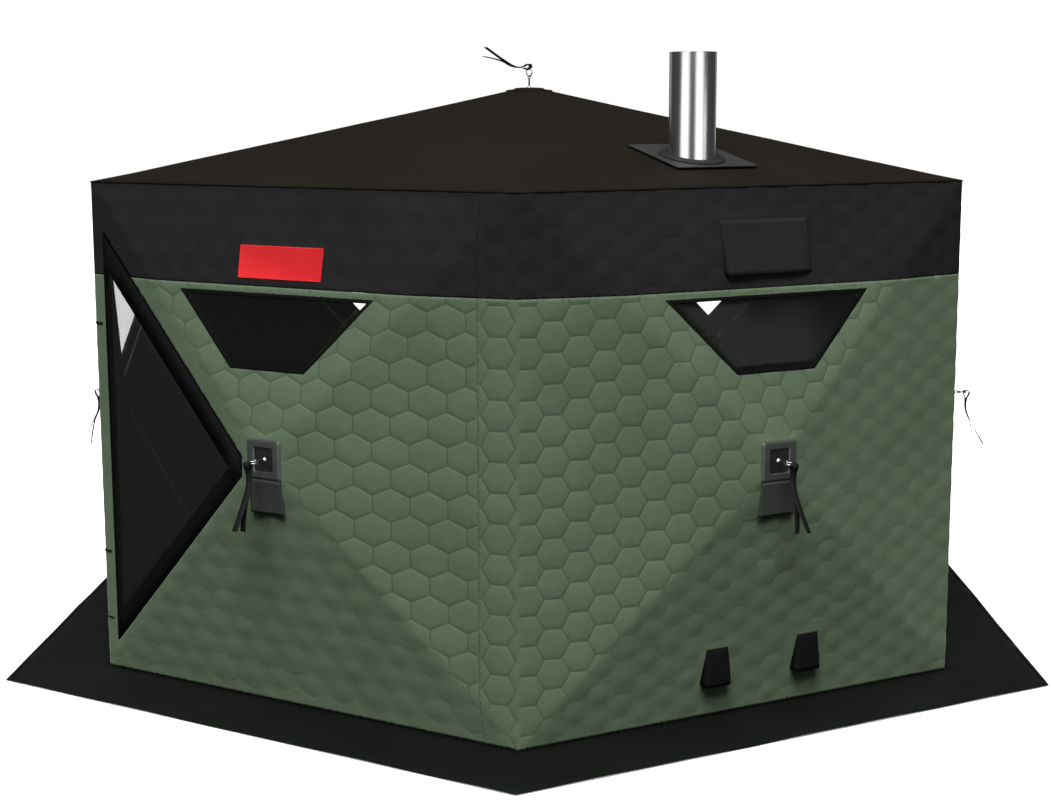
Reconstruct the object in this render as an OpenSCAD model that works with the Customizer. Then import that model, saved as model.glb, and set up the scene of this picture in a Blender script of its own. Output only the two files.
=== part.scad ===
// Six-sided insulated hub shelter for ice fishing: quilted walls that pop out at a hub in
// the middle of each side, a low six-facet roof, a snow skirt, a zipped mesh door and a
// stove pipe through the roof. Millimetres, +Z up, origin on the ground at the plan's centre.

/* [Shelter] */
// Length of each of the six sides, which is also the centre-to-corner distance
side = 1800; // [1500:10:2400]
// Height of the eave above the ground
eave_h = 1804; // [1600:2:2300]
// Rise of the roof's peak above the eave
roof_rise = 342; // [200:2:600]
// Distance that each wall's hub stands out from the line between its corners
hub_out = 167; // [100:1:240]
// Height of each wall hub above the ground
hub_z = 902; // [800:1:1150]
// Thickness of the quilted wall fabric
wall_t = 10; // [4:0.5:20]
// Thickness of the roof fabric
roof_t = 7; // [3:0.5:14]
// Height of the black band at the top of each wall
band_h = 333; // [150:1:345]

/* [Snow skirt] */
// Width of the skirt, from the wall's foot to its outer edge
skirt_w = 332; // [150:1:500]
// Thickness of the skirt fabric
skirt_t = 3; // [1:0.5:6]

/* [Windows] */
// Width of a window along its top edge
window_w = 806; // [500:2:900]
// Width of a front window along its bottom edge
window_low_w = 312; // [200:2:400]
// Height of a front window, measured along the wall
window_h = 251; // [150:1:300]
// Distance from the eave down to a window's top edge, measured along the wall
window_drop = 365; // [355:1:420]
// Shift of the two front windows away from the front corner
window_shift = 18; // [0:1:60]
// Thickness of the clear window film
film_t = 1; // [0.5:0.1:3]
// Distance of the film behind the wall's outer face
film_depth = 4; // [1:0.5:8]

/* [Door] */
// Width of the wall strip between the corner and the door's hinge edge
jamb_w = 61; // [40:1:120]
// Width of the door from its hinge edge to its blunt nose
door_w = 741; // [600:1:760]
// Height of the door's top tip above the ground
door_top = 1619; // [1500:1:1640]
// Height of the door's bottom tip above the ground
door_bottom = 115; // [110:1:200]
// Height of the nose's upper corner
nose_top = 899; // [880:1:930]
// Height of the nose's lower corner
nose_bottom = 835; // [830:1:870]
// Width of the door's border beside the hinge edge
border_hinge = 35; // [20:1:60]
// Height of the door's upper border, measured straight down
border_up = 108; // [60:1:140]
// Height of the door's lower border, measured straight up
border_low = 80; // [50:1:120]
// Thickness of the door's border
door_t = 3; // [2:0.5:5]
// Thickness of the door's mesh
mesh_t = 1; // [0.5:0.1:2]
// Free gap between the door's edges and the wall
door_gap = 5.3; // [5:0.1:10]
// Height of one door tie
tie_h = 8; // [4:1:20]

/* [Wall hubs] */
// Width of a hub's outer plate
plate_w = 141; // [120:1:180]
// Height of a hub's outer plate
plate_h = 138; // [120:1:180]
// Thickness of a hub's outer plate
plate_t = 6; // [3:0.5:10]
// Width of the recess in a hub's outer plate
recess_w = 65; // [40:1:80]
// Height of the recess in a hub's outer plate
recess_h = 80; // [50:1:90]
// Side of the square hole in the wall fabric behind a hub's plate
hub_hole = 116; // [110:1:118]
// Side of the hub body that the poles plug into
body_w = 100; // [90:1:106]
// Depth of the hub body behind the plate
body_d = 34; // [30:1:60]
// Length of the flap below a hub's plate
flap_l = 119; // [60:1:160]
// Extra width of the flap's bottom edge over its top edge
flap_flare = 10; // [0:1:30]
// Thickness of the flap below a hub's plate
flap_t = 3; // [1:0.5:6]

/* [Pull straps] */
// Radius of a pull ring, to the middle of its wire
ring_r = 18; // [12:0.5:24]
// Radius of the wire of a pull ring
ring_wire = 2.5; // [1.5:0.1:3]
// Distance of the eye bolt's eye in front of the hub's plate
eye_out = 36; // [28:1:50]
// Width of the pull webbing
web_w = 20; // [12:1:30]
// Thickness of the pull webbing
web_t = 2; // [1:0.5:3]

/* [Poles] */
// Diameter of a fibreglass pole
pole_d = 11; // [8:0.5:14]
// Distance of a pole's far end from the corner of the fabric
pole_end = 45; // [40:1:80]

/* [Roof hub] */
// Diameter of the cap over the roof hub
cap_d = 188; // [180:1:240]
// Thickness of the cap over the roof hub
cap_t = 16; // [8:1:24]
// Centre-to-corner size of the six-sided hole in the roof under the cap
roof_hole = 84; // [78:1:88]

/* [Stove pipe] */
// Outer diameter of the stove pipe
pipe_d = 164; // [100:1:180]
// Wall thickness of the stove pipe
pipe_wall = 2; // [1:0.5:4]
// Height of the pipe's top above the ground
pipe_top = 2250; // [2150:1:2600]
// Length of the pipe that hangs below the roof
pipe_inside = 250; // [100:1:500]
// Side of the square stove mat on the roof
mat_w = 335; // [280:1:400]
// Thickness of the stove mat
mat_t = 4; // [2:0.5:8]
// Place of the mat's centre along the eave, from the middle of the wall
mat_x = 15; // [-100:1:100]
// Place of the mat's centre up the slope, from the eave
mat_y = 412; // [300:1:600]
// Place of the pipe along the eave, from the middle of the wall
pipe_x = 0; // [-50:1:50]
// Place of the pipe up the slope, from the eave
pipe_y = 390; // [300:1:600]
// Diameter of the collar around the pipe's foot
collar_d = 236; // [200:1:260]
// Height of the collar above the mat
collar_t = 8; // [4:1:20]

/* [Vents] */
// Width of the vent flap on the black band
vent_w = 353; // [200:1:400]
// Length of the vent flap down the wall
vent_l = 185; // [100:1:200]
// Distance from the eave down to the vent flap's top edge
vent_drop = 111; // [60:1:130]
// Place of the vent flap's middle along the wall
vent_x = 21; // [-100:1:100]
// Distance that the vent flap's lower edge stands out
vent_lift = 24; // [10:1:50]
// Thickness of the vent flap
vent_t = 4; // [2:0.5:8]
// Width of a low air vent hood
hood_w = 96; // [60:1:140]
// Height of a low air vent hood, measured along the wall
hood_h = 137; // [100:1:160]
// Depth of a low air vent hood at its mouth
hood_d = 40; // [20:1:60]
// Wall thickness of a low air vent hood
hood_wall = 3; // [2:0.5:5]
// Distance from the ground up to a hood's mouth, measured along the wall
hood_low = 116; // [60:1:200]

/* [Label] */
// Height of the blank woven label's middle above the ground
label_z = 1551; // [1540:1:1700]
// Width of the blank woven label
label_w = 352; // [100:1:400]
// Height of the blank woven label
label_h = 112; // [40:1:120]
// Thickness of the blank woven label
label_t = 1.5; // [0.5:0.1:3]

/* [Hidden] */
WALLS = ["front_right", "right", "back_right", "back_left", "left", "front_left"];
$fn = 48;

SIDES = 6;                            // walls around the plan
seam = 0.3;                           // free gap between neighbouring fabric panels
seat = 0.3;                           // free gap between a piece and what carries it
thin = 0.15;                          // gap under pieces that are sewn or glued flat
apothem = side * cos(30);             // centre to the middle of a wall's foot
half = side / 2;
peak_h = eave_h + roof_rise;
base_z = skirt_t;
band_z = eave_h - band_h;
top_lean = atan(hub_out / (eave_h - hub_z));      // lean of a wall's upper facet
low_lean = atan(hub_out / (hub_z - base_z));      // lean of a wall's lower facet
side_turn = atan(hub_out / half);                 // turn of a wall's side facets
roof_tilt = atan(roof_rise / apothem);
corner_in = wall_t / sin(60 + side_turn);         // corner's inner line, measured radially
inner_eave = eave_h + corner_in * sin(60) * tan(roof_tilt) - roof_t / cos(roof_tilt);

// A wall's points, with x along the wall, -y outward and z up
hub_o = [0, -hub_out, hub_z];
hub_i = [0, -hub_out + wall_t / cos(side_turn), hub_z];
function foot(s) = [s * half, 0, base_z];
function foot_i(s) = [s * (half - corner_in / 2), corner_in * sin(60), base_z];
function eave(s) = [s * half, 0, eave_h];
function eave_i(s) = [s * (half - corner_in / 2), corner_in * sin(60), inner_eave];
peak_o = [0, apothem, peak_h];
peak_i = [0, apothem, peak_h - roof_t / cos(roof_tilt)];

function unit(v) = v / norm(v);
function face_normal(a, b, c) = unit(cross(b - a, c - a));

// Frames: each puts x to the right, y up the panel and z outward
module on_wall(k) rotate([0, 0, 30 + 60 * k]) translate([0, -apothem, 0]) children();
module on_upper(k) on_wall(k) translate([0, 0, eave_h]) rotate([90 - top_lean, 0, 0]) children();
module on_lower(k) on_wall(k) translate([0, 0, base_z]) rotate([90 + low_lean, 0, 0]) children();
module on_left(k) on_wall(k) translate([-half, 0, 0]) rotate([0, 0, -side_turn]) rotate([90, 0, 0]) children();
module on_roof(k) on_wall(k) translate([0, 0, eave_h]) rotate([roof_tilt, 0, 0]) children();

// A three-cornered panel from its outer and inner corners, a hair smaller than its place
module panel(outer, inner) {
    middle = (outer[0] + outer[1] + outer[2] + inner[0] + inner[1] + inner[2]) / 6;
    ease = 1 - seam / 600;
    points = [for (p = concat(outer, inner)) middle + (p - middle) * ease];
    polyhedron(points, [[0, 1, 2], [5, 4, 3], [1, 0, 4], [0, 3, 4], [0, 2, 5], [0, 5, 3],
        [2, 1, 4], [2, 4, 5]]);
}

module upper_panel() panel([hub_o, eave(-1), eave(1)], [hub_i, eave_i(-1), eave_i(1)]);
module left_panel() panel([hub_o, foot(-1), eave(-1)], [hub_i, foot_i(-1), eave_i(-1)]);
module right_panel() panel([hub_o, eave(1), foot(1)], [hub_i, eave_i(1), foot_i(1)]);
module lower_panel() panel([hub_o, foot(1), foot(-1)], [hub_i, foot_i(1), foot_i(-1)]);
module roof_panel() panel([peak_o, eave(1), eave(-1)], [peak_i, eave_i(1), eave_i(-1)]);

// A slab that keeps what lies between two heights of a wall
module slab(low, high) translate([-side, -side, low]) cube([2 * side, 2 * side, high - low]);

// Windows: a front one is cut off flat below, the others run down to a point
window_taper = (window_w - window_low_w) / 2 / window_h;
function is_front(k) = k == 0 || k == 5;
function window_side(k) = k == 0 ? window_shift : k == 5 ? -window_shift : 0;
function window_half(drop, inset) =
    max(0.1, window_w / 2 - window_taper * drop - inset * sqrt(1 + window_taper * window_taper));
module window_shape(k, inset) {
    low = is_front(k) ? window_h - inset
        : (window_w / 2 - inset * sqrt(1 + window_taper * window_taper)) / window_taper - 0.2;
    translate([window_side(k), -window_drop]) polygon([[-window_half(inset, inset), -inset],
        [window_half(inset, inset), -inset], [window_half(low, inset), -low],
        [-window_half(low, inset), -low]]);
}
module window_film(k) color([0.75, 0.78, 0.78, 0.35])
    on_upper(k) translate([0, 0, -film_depth - film_t]) linear_extrude(film_t) window_shape(k, thin);

module hub_cut() translate([-hub_hole / 2, -hub_out - 60, hub_z - hub_hole / 2])
    cube([hub_hole, 120, hub_hole]);

// The window's hole, in the frame of the wall itself
module window_cut(k) translate([0, 0, eave_h]) rotate([90 - top_lean, 0, 0])
    translate([0, 0, -40]) linear_extrude(80) window_shape(k, 0);

// The door's outline in the frame of the left panel, grown by a gap
upper_fall = (door_top - nose_top) / door_w;
lower_rise = (nose_bottom - door_bottom) / door_w;
module door_shape(grow, hinge_grow) {
    up = grow * sqrt(1 + upper_fall * upper_fall);
    down = grow * sqrt(1 + lower_rise * lower_rise);
    polygon([[jamb_w - hinge_grow, door_bottom - down - hinge_grow * lower_rise],
        [jamb_w + door_w + grow, nose_bottom - down + grow * lower_rise],
        [jamb_w + door_w + grow, nose_top + up - grow * upper_fall],
        [jamb_w - hinge_grow, door_top + up + hinge_grow * upper_fall]]);
}
module mesh_shape(inset) {
    x0 = border_hinge + inset;
    top = door_top - border_up - inset * sqrt(1 + upper_fall * upper_fall);
    bottom = door_bottom + border_low + inset * sqrt(1 + lower_rise * lower_rise);
    nose = (top - bottom) / (upper_fall + lower_rise);
    polygon([[jamb_w + x0, bottom + x0 * lower_rise], [jamb_w + nose, bottom + nose * lower_rise],
        [jamb_w + x0, top - x0 * upper_fall]]);
}
hinge_gap = 0.5;                      // free gap between the jamb and the door's sewn edge
module door_cut() translate([-half, 0, 0]) rotate([0, 0, -side_turn]) rotate([90, 0, 0])
    translate([0, 0, -40]) linear_extrude(80) door_shape(door_gap, hinge_gap);

// Quilted wall panels between two heights; the door's wall has no left panel below its band
module wall_green(k) color([0.32, 0.39, 0.30]) on_wall(k) difference() {
    intersection() {
        union() {
            upper_panel();
            if (k != 5) left_panel();
            right_panel();
            lower_panel();
        }
        slab(-1, band_z - seam / 2);
    }
    hub_cut();
    window_cut(k);
}
module wall_band(k) color([0.13, 0.13, 0.13]) on_wall(k) difference() {
    intersection() {
        union() {
            upper_panel();
            left_panel();
            right_panel();
        }
        slab(band_z + seam / 2, eave_h + 50);
    }
    if (k == 5) door_cut();
}

// The door's wall: what is left of its left panel around the doorway, in three pieces
module door_wall_piece(low, high, from, to) color([0.32, 0.39, 0.30]) on_wall(5) difference() {
    intersection() {
        left_panel();
        slab(-1, band_z - seam / 2);
        translate([-half, 0, 0]) rotate([0, 0, -side_turn])
            translate([from, -60, low]) cube([to - from, 120, high - low]);
    }
    door_cut();
    hub_cut();
}
nose_z = (nose_top + nose_bottom) / 2;
module door_jamb() door_wall_piece(-1, eave_h, -20, jamb_w - hinge_gap);
module door_margin_upper() door_wall_piece(nose_z + seam / 2, eave_h, jamb_w, side);
module door_margin_lower() door_wall_piece(-1, nose_z - seam / 2, jamb_w - hinge_gap + seam, side);

module door_border() color([0.07, 0.07, 0.07]) on_left(5) translate([0, 0, -door_t])
    linear_extrude(door_t) difference() {
        door_shape(0, 0);
        mesh_shape(0);
    }
module door_mesh() color([0.12, 0.12, 0.12, 0.7]) on_left(5)
    translate([0, 0, -door_t / 2 - mesh_t / 2]) linear_extrude(mesh_t) mesh_shape(thin);

// Short ties across the jamb, clear of the door when it swings right round
tie_heights = [194, 447, 1295];
tie_short = 28;                       // length by which a tie is shorter than the jamb is wide
module door_ties() color([0.08, 0.08, 0.08]) on_left(5)
    for (z = tie_heights) translate([4, z - tie_h / 2, thin]) cube([jamb_w - tie_short, tie_h, 1.5]);

module roof() color([0.16, 0.15, 0.13]) for (k = [0 : SIDES - 1]) difference() {
    on_wall(k) roof_panel();
    translate([0, 0, eave_h]) rotate([0, 0, 30]) cylinder(h = roof_rise + 50, r = roof_hole, $fn = 6);
    if (k == 0) pipe_place() translate([0, 0, -200]) cylinder(h = 400, d = pipe_d + 2 * roof_hole_gap);
}

module snow_skirt() color([0.09, 0.10, 0.09]) for (k = [0 : SIDES - 1]) on_wall(k) {
    outer = half + skirt_w * tan(30) - seam / 2;
    inner = half - corner_in / 2 - seam / 2;
    linear_extrude(skirt_t) polygon([[-outer, -skirt_w], [outer, -skirt_w],
        [inner, corner_in * sin(60)], [-inner, corner_in * sin(60)]]);
}

// Wall hub: a framed plate outside, a pole body inside, clamped through the fabric
fabric_fall = hub_hole / 2 * min(tan(top_lean), tan(low_lean), tan(side_turn));
plate_back = -fabric_fall + seat;
plate_face = plate_back + plate_t;
module wall_hubs() for (k = [0 : SIDES - 1]) on_wall(k) translate([0, -hub_out, hub_z])
    rotate([90, 0, 0]) children();
module hub_plates() color([0.27, 0.28, 0.28]) wall_hubs() translate([0, 0, plate_back])
    linear_extrude(plate_t) difference() {
        square([plate_w, plate_h], center = true);
        square([recess_w, recess_h], center = true);
    }
module hub_bodies() color([0.10, 0.10, 0.11]) wall_hubs() translate([0, 0, plate_back - body_d - thin])
    linear_extrude(body_d) intersection() {
        square(body_w, center = true);
        rotate(45) square(body_w * 1.2, center = true);
    }
module hub_flaps() color([0.17, 0.17, 0.16]) wall_hubs()
    translate([0, -plate_h / 2 - seat, plate_face - flap_t]) linear_extrude(flap_t)
        polygon([[-plate_w / 2, 0], [plate_w / 2, 0], [(plate_w + flap_flare) / 2, -flap_l],
            [-(plate_w + flap_flare) / 2, -flap_l]]);

// Eye bolt, ring and webbing, with z outward and the webbing's tails towards -y
eye_r = ring_wire * 2 + 1.5;
eye_wire = 2;
ring_shift = eye_r - eye_wire - ring_wire - seat;     // the ring hangs against the eye's far side
module eye_bolt(foot_z, reach) {
    translate([0, 0, foot_z]) cylinder(h = reach - foot_z - eye_r - 1, d = 7);
    translate([0, 0, reach]) rotate([90, 0, 90])
        rotate_extrude() translate([eye_r, 0]) circle(r = eye_wire, $fn = 24);
}
module pull_ring(reach) translate([0, 0, reach + ring_shift + ring_r]) rotate([90, 0, 0])
    rotate_extrude() translate([ring_r, 0]) circle(r = ring_wire, $fn = 24);

// A flat band that follows a route of points and has a set thickness
function route_normal(r, i) = let (
    a = r[max(i - 1, 0)], b = r[min(i + 1, len(r) - 1)], d = (b - a) / norm(b - a)) [-d[1], d[0]];
module band_along(route, t) polygon(concat(
    [for (i = [0 : len(route) - 1]) route[i] + route_normal(route, i) * t / 2],
    [for (i = [len(route) - 1 : -1 : 0]) route[i] - route_normal(route, i) * t / 2]));

// Distance down from the ring and distance out from it, for the two legs of the webbing
outer_leg = [[-6, 5], [-4, 12], [4, 17], [14, 16], [30, 8], [58, 1], [88, 8], [125, 26], [170, 50],
    [215, 76]];
inner_leg = [[-6, 5], [-6, -4], [2, -11], [14, -10], [30, -5], [58, -1], [88, 5], [125, 21], [170, 32],
    [222, 40]];
module pull_strap(reach) translate([-web_w / 2, 0, reach + ring_shift + 2 * ring_r]) rotate([0, 90, 0]) mirror([1, 1, 0])
    linear_extrude(web_w) {
        band_along(outer_leg, web_t);
        band_along(inner_leg, web_t);
    }

module eye_bolts() color([0.75, 0.75, 0.76]) {
    wall_hubs() eye_bolt(plate_back, plate_face + eye_out);
    roof_pull() eye_bolt(0, eye_out);
}
module pull_rings() color([0.8, 0.8, 0.8]) {
    wall_hubs() pull_ring(plate_face + eye_out);
    roof_pull() pull_ring(eye_out);
}
module pull_straps() color([0.06, 0.06, 0.06]) {
    wall_hubs() pull_strap(plate_face + eye_out);
    roof_pull() pull_strap(eye_out);
}

// A pole from one point to another
module rod(a, b, d) translate(a) rotate([0, acos((b - a)[2] / norm(b - a)), atan2((b - a)[1], (b - a)[0])])
    cylinder(h = norm(b - a), d = d, $fn = 24);
// A pole laid in the valley between two panels whose inner faces have these normals
module valley_rod(a, b, n1, n2, start) {
    lift = (n1 + n2) / pow(norm(n1 + n2), 2) * 2 * (pole_d / 2 + seat);
    along = unit(b - a);
    rod(a + lift + along * start, b + lift - along * pole_end, pole_d);
}
body_reach = body_w * 0.6 + 4;        // from a hub's centre to where its poles begin
module wall_poles() color([0.85, 0.83, 0.74]) for (k = [0 : SIDES - 1]) on_wall(k) {
    top_n = face_normal(hub_i, eave_i(-1), eave_i(1));
    low_n = face_normal(hub_i, foot_i(1), foot_i(-1));
    left_n = face_normal(hub_i, foot_i(-1), eave_i(-1));
    right_n = face_normal(hub_i, eave_i(1), foot_i(1));
    valley_rod(hub_i, eave_i(-1), top_n, left_n, body_reach);
    valley_rod(hub_i, eave_i(1), top_n, right_n, body_reach);
    valley_rod(hub_i, foot_i(-1), low_n, left_n, body_reach);
    valley_rod(hub_i, foot_i(1), low_n, right_n, body_reach);
}

// Roof hub: cap outside, six-sided pole body inside
cap_z = peak_h - roof_hole * roof_rise / side + seat;
module roof_pull() translate([0, 0, cap_z + cap_t]) rotate([0, 0, -52]) children();
module roof_hub_cap() color([0.15, 0.14, 0.12]) translate([0, 0, cap_z]) cylinder(h = cap_t, d = cap_d);
module roof_hub_body() color([0.10, 0.10, 0.11]) translate([0, 0, cap_z - body_d])
    cylinder(h = body_d, r = body_w * 0.6 / cos(30), $fn = 6);
module roof_poles() color([0.85, 0.83, 0.74]) for (k = [0 : SIDES - 1]) on_wall(k) {
    n0 = face_normal(peak_i, eave_i(1), eave_i(-1));
    n1 = [n0[0] * cos(60) - n0[1] * sin(60), n0[0] * sin(60) + n0[1] * cos(60), n0[2]];
    valley_rod(peak_i, eave_i(1), n0, n1, body_reach);
}

// Stove pipe, upright through the front right roof panel
module pipe_place() on_wall(0)
    translate([pipe_x, pipe_y * cos(roof_tilt), eave_h + pipe_y * sin(roof_tilt)]) children();
roof_hole_gap = 6;                    // free gap between the pipe and the roof fabric
pipe_foot = eave_h + pipe_y * sin(roof_tilt) - pipe_inside;
module stove_pipe() color([0.72, 0.73, 0.74]) pipe_place()
    translate([0, 0, -pipe_inside]) difference() {
        cylinder(h = pipe_top - pipe_foot, d = pipe_d, $fn = 96);
        translate([0, 0, -1]) cylinder(h = pipe_top - pipe_foot + 2, d = pipe_d - 2 * pipe_wall, $fn = 96);
    }
module stove_mat() color([0.28, 0.28, 0.28]) difference() {
    on_roof(0) translate([mat_x - mat_w / 2, mat_y - mat_w / 2, thin]) cube([mat_w, mat_w, mat_t]);
    pipe_place() translate([0, 0, -200]) cylinder(h = 400, d = pipe_d + 2, $fn = 96);
}
module stove_collar() color([0.17, 0.17, 0.17]) difference() {
    on_roof(0) translate([pipe_x, pipe_y, mat_t + 2 * thin]) cylinder(h = collar_t, d = collar_d, $fn = 96);
    pipe_place() translate([0, 0, -200]) cylinder(h = 400, d = pipe_d + 2 * seat, $fn = 96);
}

// Vent flap: sewn along its top edge, lifted at its lower edge
module vent_flap() color([0.14, 0.14, 0.14]) on_upper(0) translate([vent_x, -vent_drop, seat])
    rotate([-asin(vent_lift / vent_l), 0, 0]) translate([-vent_w / 2, -vent_l, 0])
        cube([vent_w, vent_l, vent_t]);

// Low air vents: open-mouthed hoods, closed at the top and sides
hood_places = [-158, 220];
module hood_block(w, h, d) hull() {
    translate([-w / 2, 0, 0]) cube([w, h, 1]);
    translate([-w / 2, 0, 0]) cube([w, 1, d]);
}
module air_vents() color([0.07, 0.07, 0.07]) on_lower(0) for (x = hood_places)
    translate([x, hood_low, seat]) difference() {
        hood_block(hood_w, hood_h, hood_d);
        translate([0, -2, -2]) hood_block(hood_w - 2 * hood_wall, hood_h - 2 * hood_wall, hood_d - hood_wall);
    }

module label_patch() color([0.80, 0.10, 0.10]) on_upper(5)
    translate([-label_w / 2, -(eave_h - label_z) / cos(top_lean) - label_h / 2, thin]) cube([label_w, label_h, label_t]);

wall_green(5);  // wall_front_left
wall_green(0);  // wall_front_right
wall_green(1);  // wall_right
wall_green(2);  // wall_back_right
wall_green(3);  // wall_back_left
wall_green(4);  // wall_left
wall_band(5);  // band_front_left
wall_band(0);  // band_front_right
wall_band(1);  // band_right
wall_band(2);  // band_back_right
wall_band(3);  // band_back_left
wall_band(4);  // band_left
door_jamb();
door_margin_upper();
door_margin_lower();
door_border();
door_mesh();
door_ties();
window_film(5);  // window_front_left
window_film(0);  // window_front_right
window_film(1);  // window_right
window_film(2);  // window_back_right
window_film(3);  // window_back_left
window_film(4);  // window_left
roof();
snow_skirt();
hub_plates();
hub_bodies();
hub_flaps();
eye_bolts();
pull_rings();
pull_straps();
wall_poles();
roof_hub_cap();
roof_hub_body();
roof_poles();
stove_mat();
stove_collar();
stove_pipe();
vent_flap();
air_vents();
label_patch();
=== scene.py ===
# %% [markdown]
# # A six-sided insulated hub shelter for ice fishing
# The shelter is a sewn tent that springs up on fibreglass poles. Its walls are quilted
# polyester over wadding, each popped outward at a hub. The exact model gives every place and
# size here; this file gives each piece its soft shape, its sewing and its surface.

import math

import bmesh
import bpy
import numpy as np
from mathutils import Matrix, Vector


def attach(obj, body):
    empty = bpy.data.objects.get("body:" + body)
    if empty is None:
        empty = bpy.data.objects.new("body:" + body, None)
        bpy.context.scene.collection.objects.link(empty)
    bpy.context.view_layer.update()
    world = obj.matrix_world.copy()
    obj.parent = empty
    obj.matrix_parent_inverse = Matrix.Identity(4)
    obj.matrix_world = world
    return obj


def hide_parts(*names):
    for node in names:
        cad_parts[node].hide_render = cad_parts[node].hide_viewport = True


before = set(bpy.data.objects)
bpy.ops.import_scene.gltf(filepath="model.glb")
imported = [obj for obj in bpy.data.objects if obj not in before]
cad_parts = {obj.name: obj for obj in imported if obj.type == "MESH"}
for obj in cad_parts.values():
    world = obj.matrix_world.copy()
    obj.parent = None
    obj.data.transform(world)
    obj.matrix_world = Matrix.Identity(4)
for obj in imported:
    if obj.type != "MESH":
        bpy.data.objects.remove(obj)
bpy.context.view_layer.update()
BODY = "shelter"
DOOR = "door"

# %% [markdown]
# ## The sizes that everything hangs on
# The tent is drawn from the same few sizes as the exact model: the side of the hexagon, the
# height of the eave, and how far and how high each hub stands out. Everything else is worked
# out from them, so a piece lands where its neighbour expects it.

# %% Driving sizes, in metres
MM = 0.001
SIDE = 1800 * MM
HALF = SIDE / 2
EAVE = 1804 * MM
RISE = 342 * MM
HUB_OUT = 167 * MM
HUB_Z = 902 * MM
BASE = 3 * MM
BAND_Z = EAVE - 333 * MM
SEAM = 0.3 * MM
SIDES = 6
APOTHEM = SIDE * math.cos(math.radians(30))
TOP_LEAN = math.atan(HUB_OUT / (EAVE - HUB_Z))
LOW_LEAN = math.atan(HUB_OUT / (HUB_Z - BASE))
SIDE_TURN = math.atan(HUB_OUT / HALF)
ROOF_TILT = math.atan(RISE / APOTHEM)
WALLS = ["front_right", "right", "back_right", "back_left", "left", "front_left"]
FRONT_RIGHT, FRONT_LEFT = 0, 5


def turn(axis, angle):
    return Matrix.Rotation(angle, 4, axis)


def shift(x, y, z):
    return Matrix.Translation((x, y, z))


def on_wall(k):
    """x along the wall, -y outward, z up, with the origin at the middle of the wall's foot line."""
    return turn("Z", math.radians(30 + 60 * k)) @ shift(0, -APOTHEM, 0)


def on_upper(k):
    """x to the right, y up the upper facet, z outward, from the middle of the eave."""
    return on_wall(k) @ shift(0, 0, EAVE) @ turn("X", math.radians(90) - TOP_LEAN)


def on_lower(k):
    return on_wall(k) @ shift(0, 0, BASE) @ turn("X", math.radians(90) + LOW_LEAN)


def on_left(k):
    return on_wall(k) @ shift(-HALF, 0, 0) @ turn("Z", -SIDE_TURN) @ turn("X", math.radians(90))


def on_roof(k):
    return on_wall(k) @ shift(0, 0, EAVE) @ turn("X", ROOF_TILT)


def on_hub(k):
    return on_wall(k) @ shift(0, -HUB_OUT, HUB_Z) @ turn("X", math.radians(90))


print("leans of the facets, in degrees:",
      [round(math.degrees(a), 2) for a in (TOP_LEAN, LOW_LEAN, SIDE_TURN, ROOF_TILT)])

# %% [markdown]
# ## Camera
# A person stands a few metres in front of the corner where the two front walls meet, a little
# above eye height, and looks slightly down. A long lens keeps the tent's upright edges upright.

# %% Camera


def in_scene(name, data):
    """A new object that holds the data, linked to the scene."""
    made = bpy.data.objects.new(name, data)
    bpy.context.scene.collection.objects.link(made)
    return made


camera_data = bpy.data.cameras.new("camera")
camera_data.lens = 62.12
camera_data.sensor_width = 36.0
camera_data.clip_end = 200
camera = in_scene("camera", camera_data)
EYE = Vector((0.156, -7.416, 2.063))
LOOK_YAW, LOOK_DOWN, LOOK_ROLL = (math.radians(a) for a in (-1.3432, 9.3436, 0.1304))
camera.matrix_world = (
    Matrix.Translation(EYE) @ turn("Z", -LOOK_YAW)
    @ turn("X", math.radians(90) - LOOK_DOWN) @ turn("Z", -LOOK_ROLL))
bpy.context.scene.camera = camera
print("camera at", tuple(round(c, 3) for c in EYE))

# %% [markdown]
# ## Helpers for materials
# A colour picker shows sRGB, and the renderer works in linear light, so one function turns a
# hex value into linear. A second one adds a node, with its settings and links. The others are
# the few groups of nodes that most of the materials share.

# %% Colour and node helpers


def linear(hex_colour):
    """Linear RGBA of an sRGB hex value such as "5b6b56"."""
    parts = [int(hex_colour[i:i + 2], 16) / 255 for i in (0, 2, 4)]
    return [p / 12.92 if p <= 0.04045 else ((p + 0.055) / 1.055) ** 2.4 for p in parts] + [1.0]


def add(tree, kind, settings=None, numbered=None, **links):
    """Adds a node. settings are its own properties and plain socket values, and links feed its
    sockets. A socket goes by its name, or by its number in settings and in numbered."""
    node = tree.nodes.new("ShaderNode" + kind)
    for name, value in (settings or {}).items():
        if isinstance(name, str) and hasattr(node, name):
            setattr(node, name, value)
        else:
            socket = name.replace("_", " ") if isinstance(name, str) else name
            node.inputs[socket].default_value = value
    for name, source in list((numbered or {}).items()) + list(links.items()):
        socket = name.replace("_", " ") if isinstance(name, str) else name
        tree.links.new(source, node.inputs[socket])
    return node


def material(name, **settings):
    """An empty material with a Principled shader; settings are the shader's own socket values."""
    made = bpy.data.materials.new(name)
    made.use_nodes = True
    shader = made.node_tree.nodes["Principled BSDF"]
    for socket, value in settings.items():
        shader.inputs[socket.replace("_", " ")].default_value = value
    return made, made.node_tree, shader


def colour_mix(tree, first, second, factor):
    """A colour that runs from one hex value to another with a factor from 0 to 1."""
    ramp = add(tree, "ValToRGB", Fac=factor)
    ramp.color_ramp.elements[0].color = linear(first)
    ramp.color_ramp.elements[1].color = linear(second)
    return ramp.outputs["Color"]


def place(tree):
    """The point on the surface, in the object's own metres."""
    return add(tree, "TexCoord").outputs["Object"]


def noise(tree, scale, detail, at=None):
    """Noise from 0 to 1 over the surface, or over other coordinates."""
    where = place(tree) if at is None else at
    return add(tree, "TexNoise", {"Scale": scale, "Detail": detail}, Vector=where).outputs["Fac"]


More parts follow.
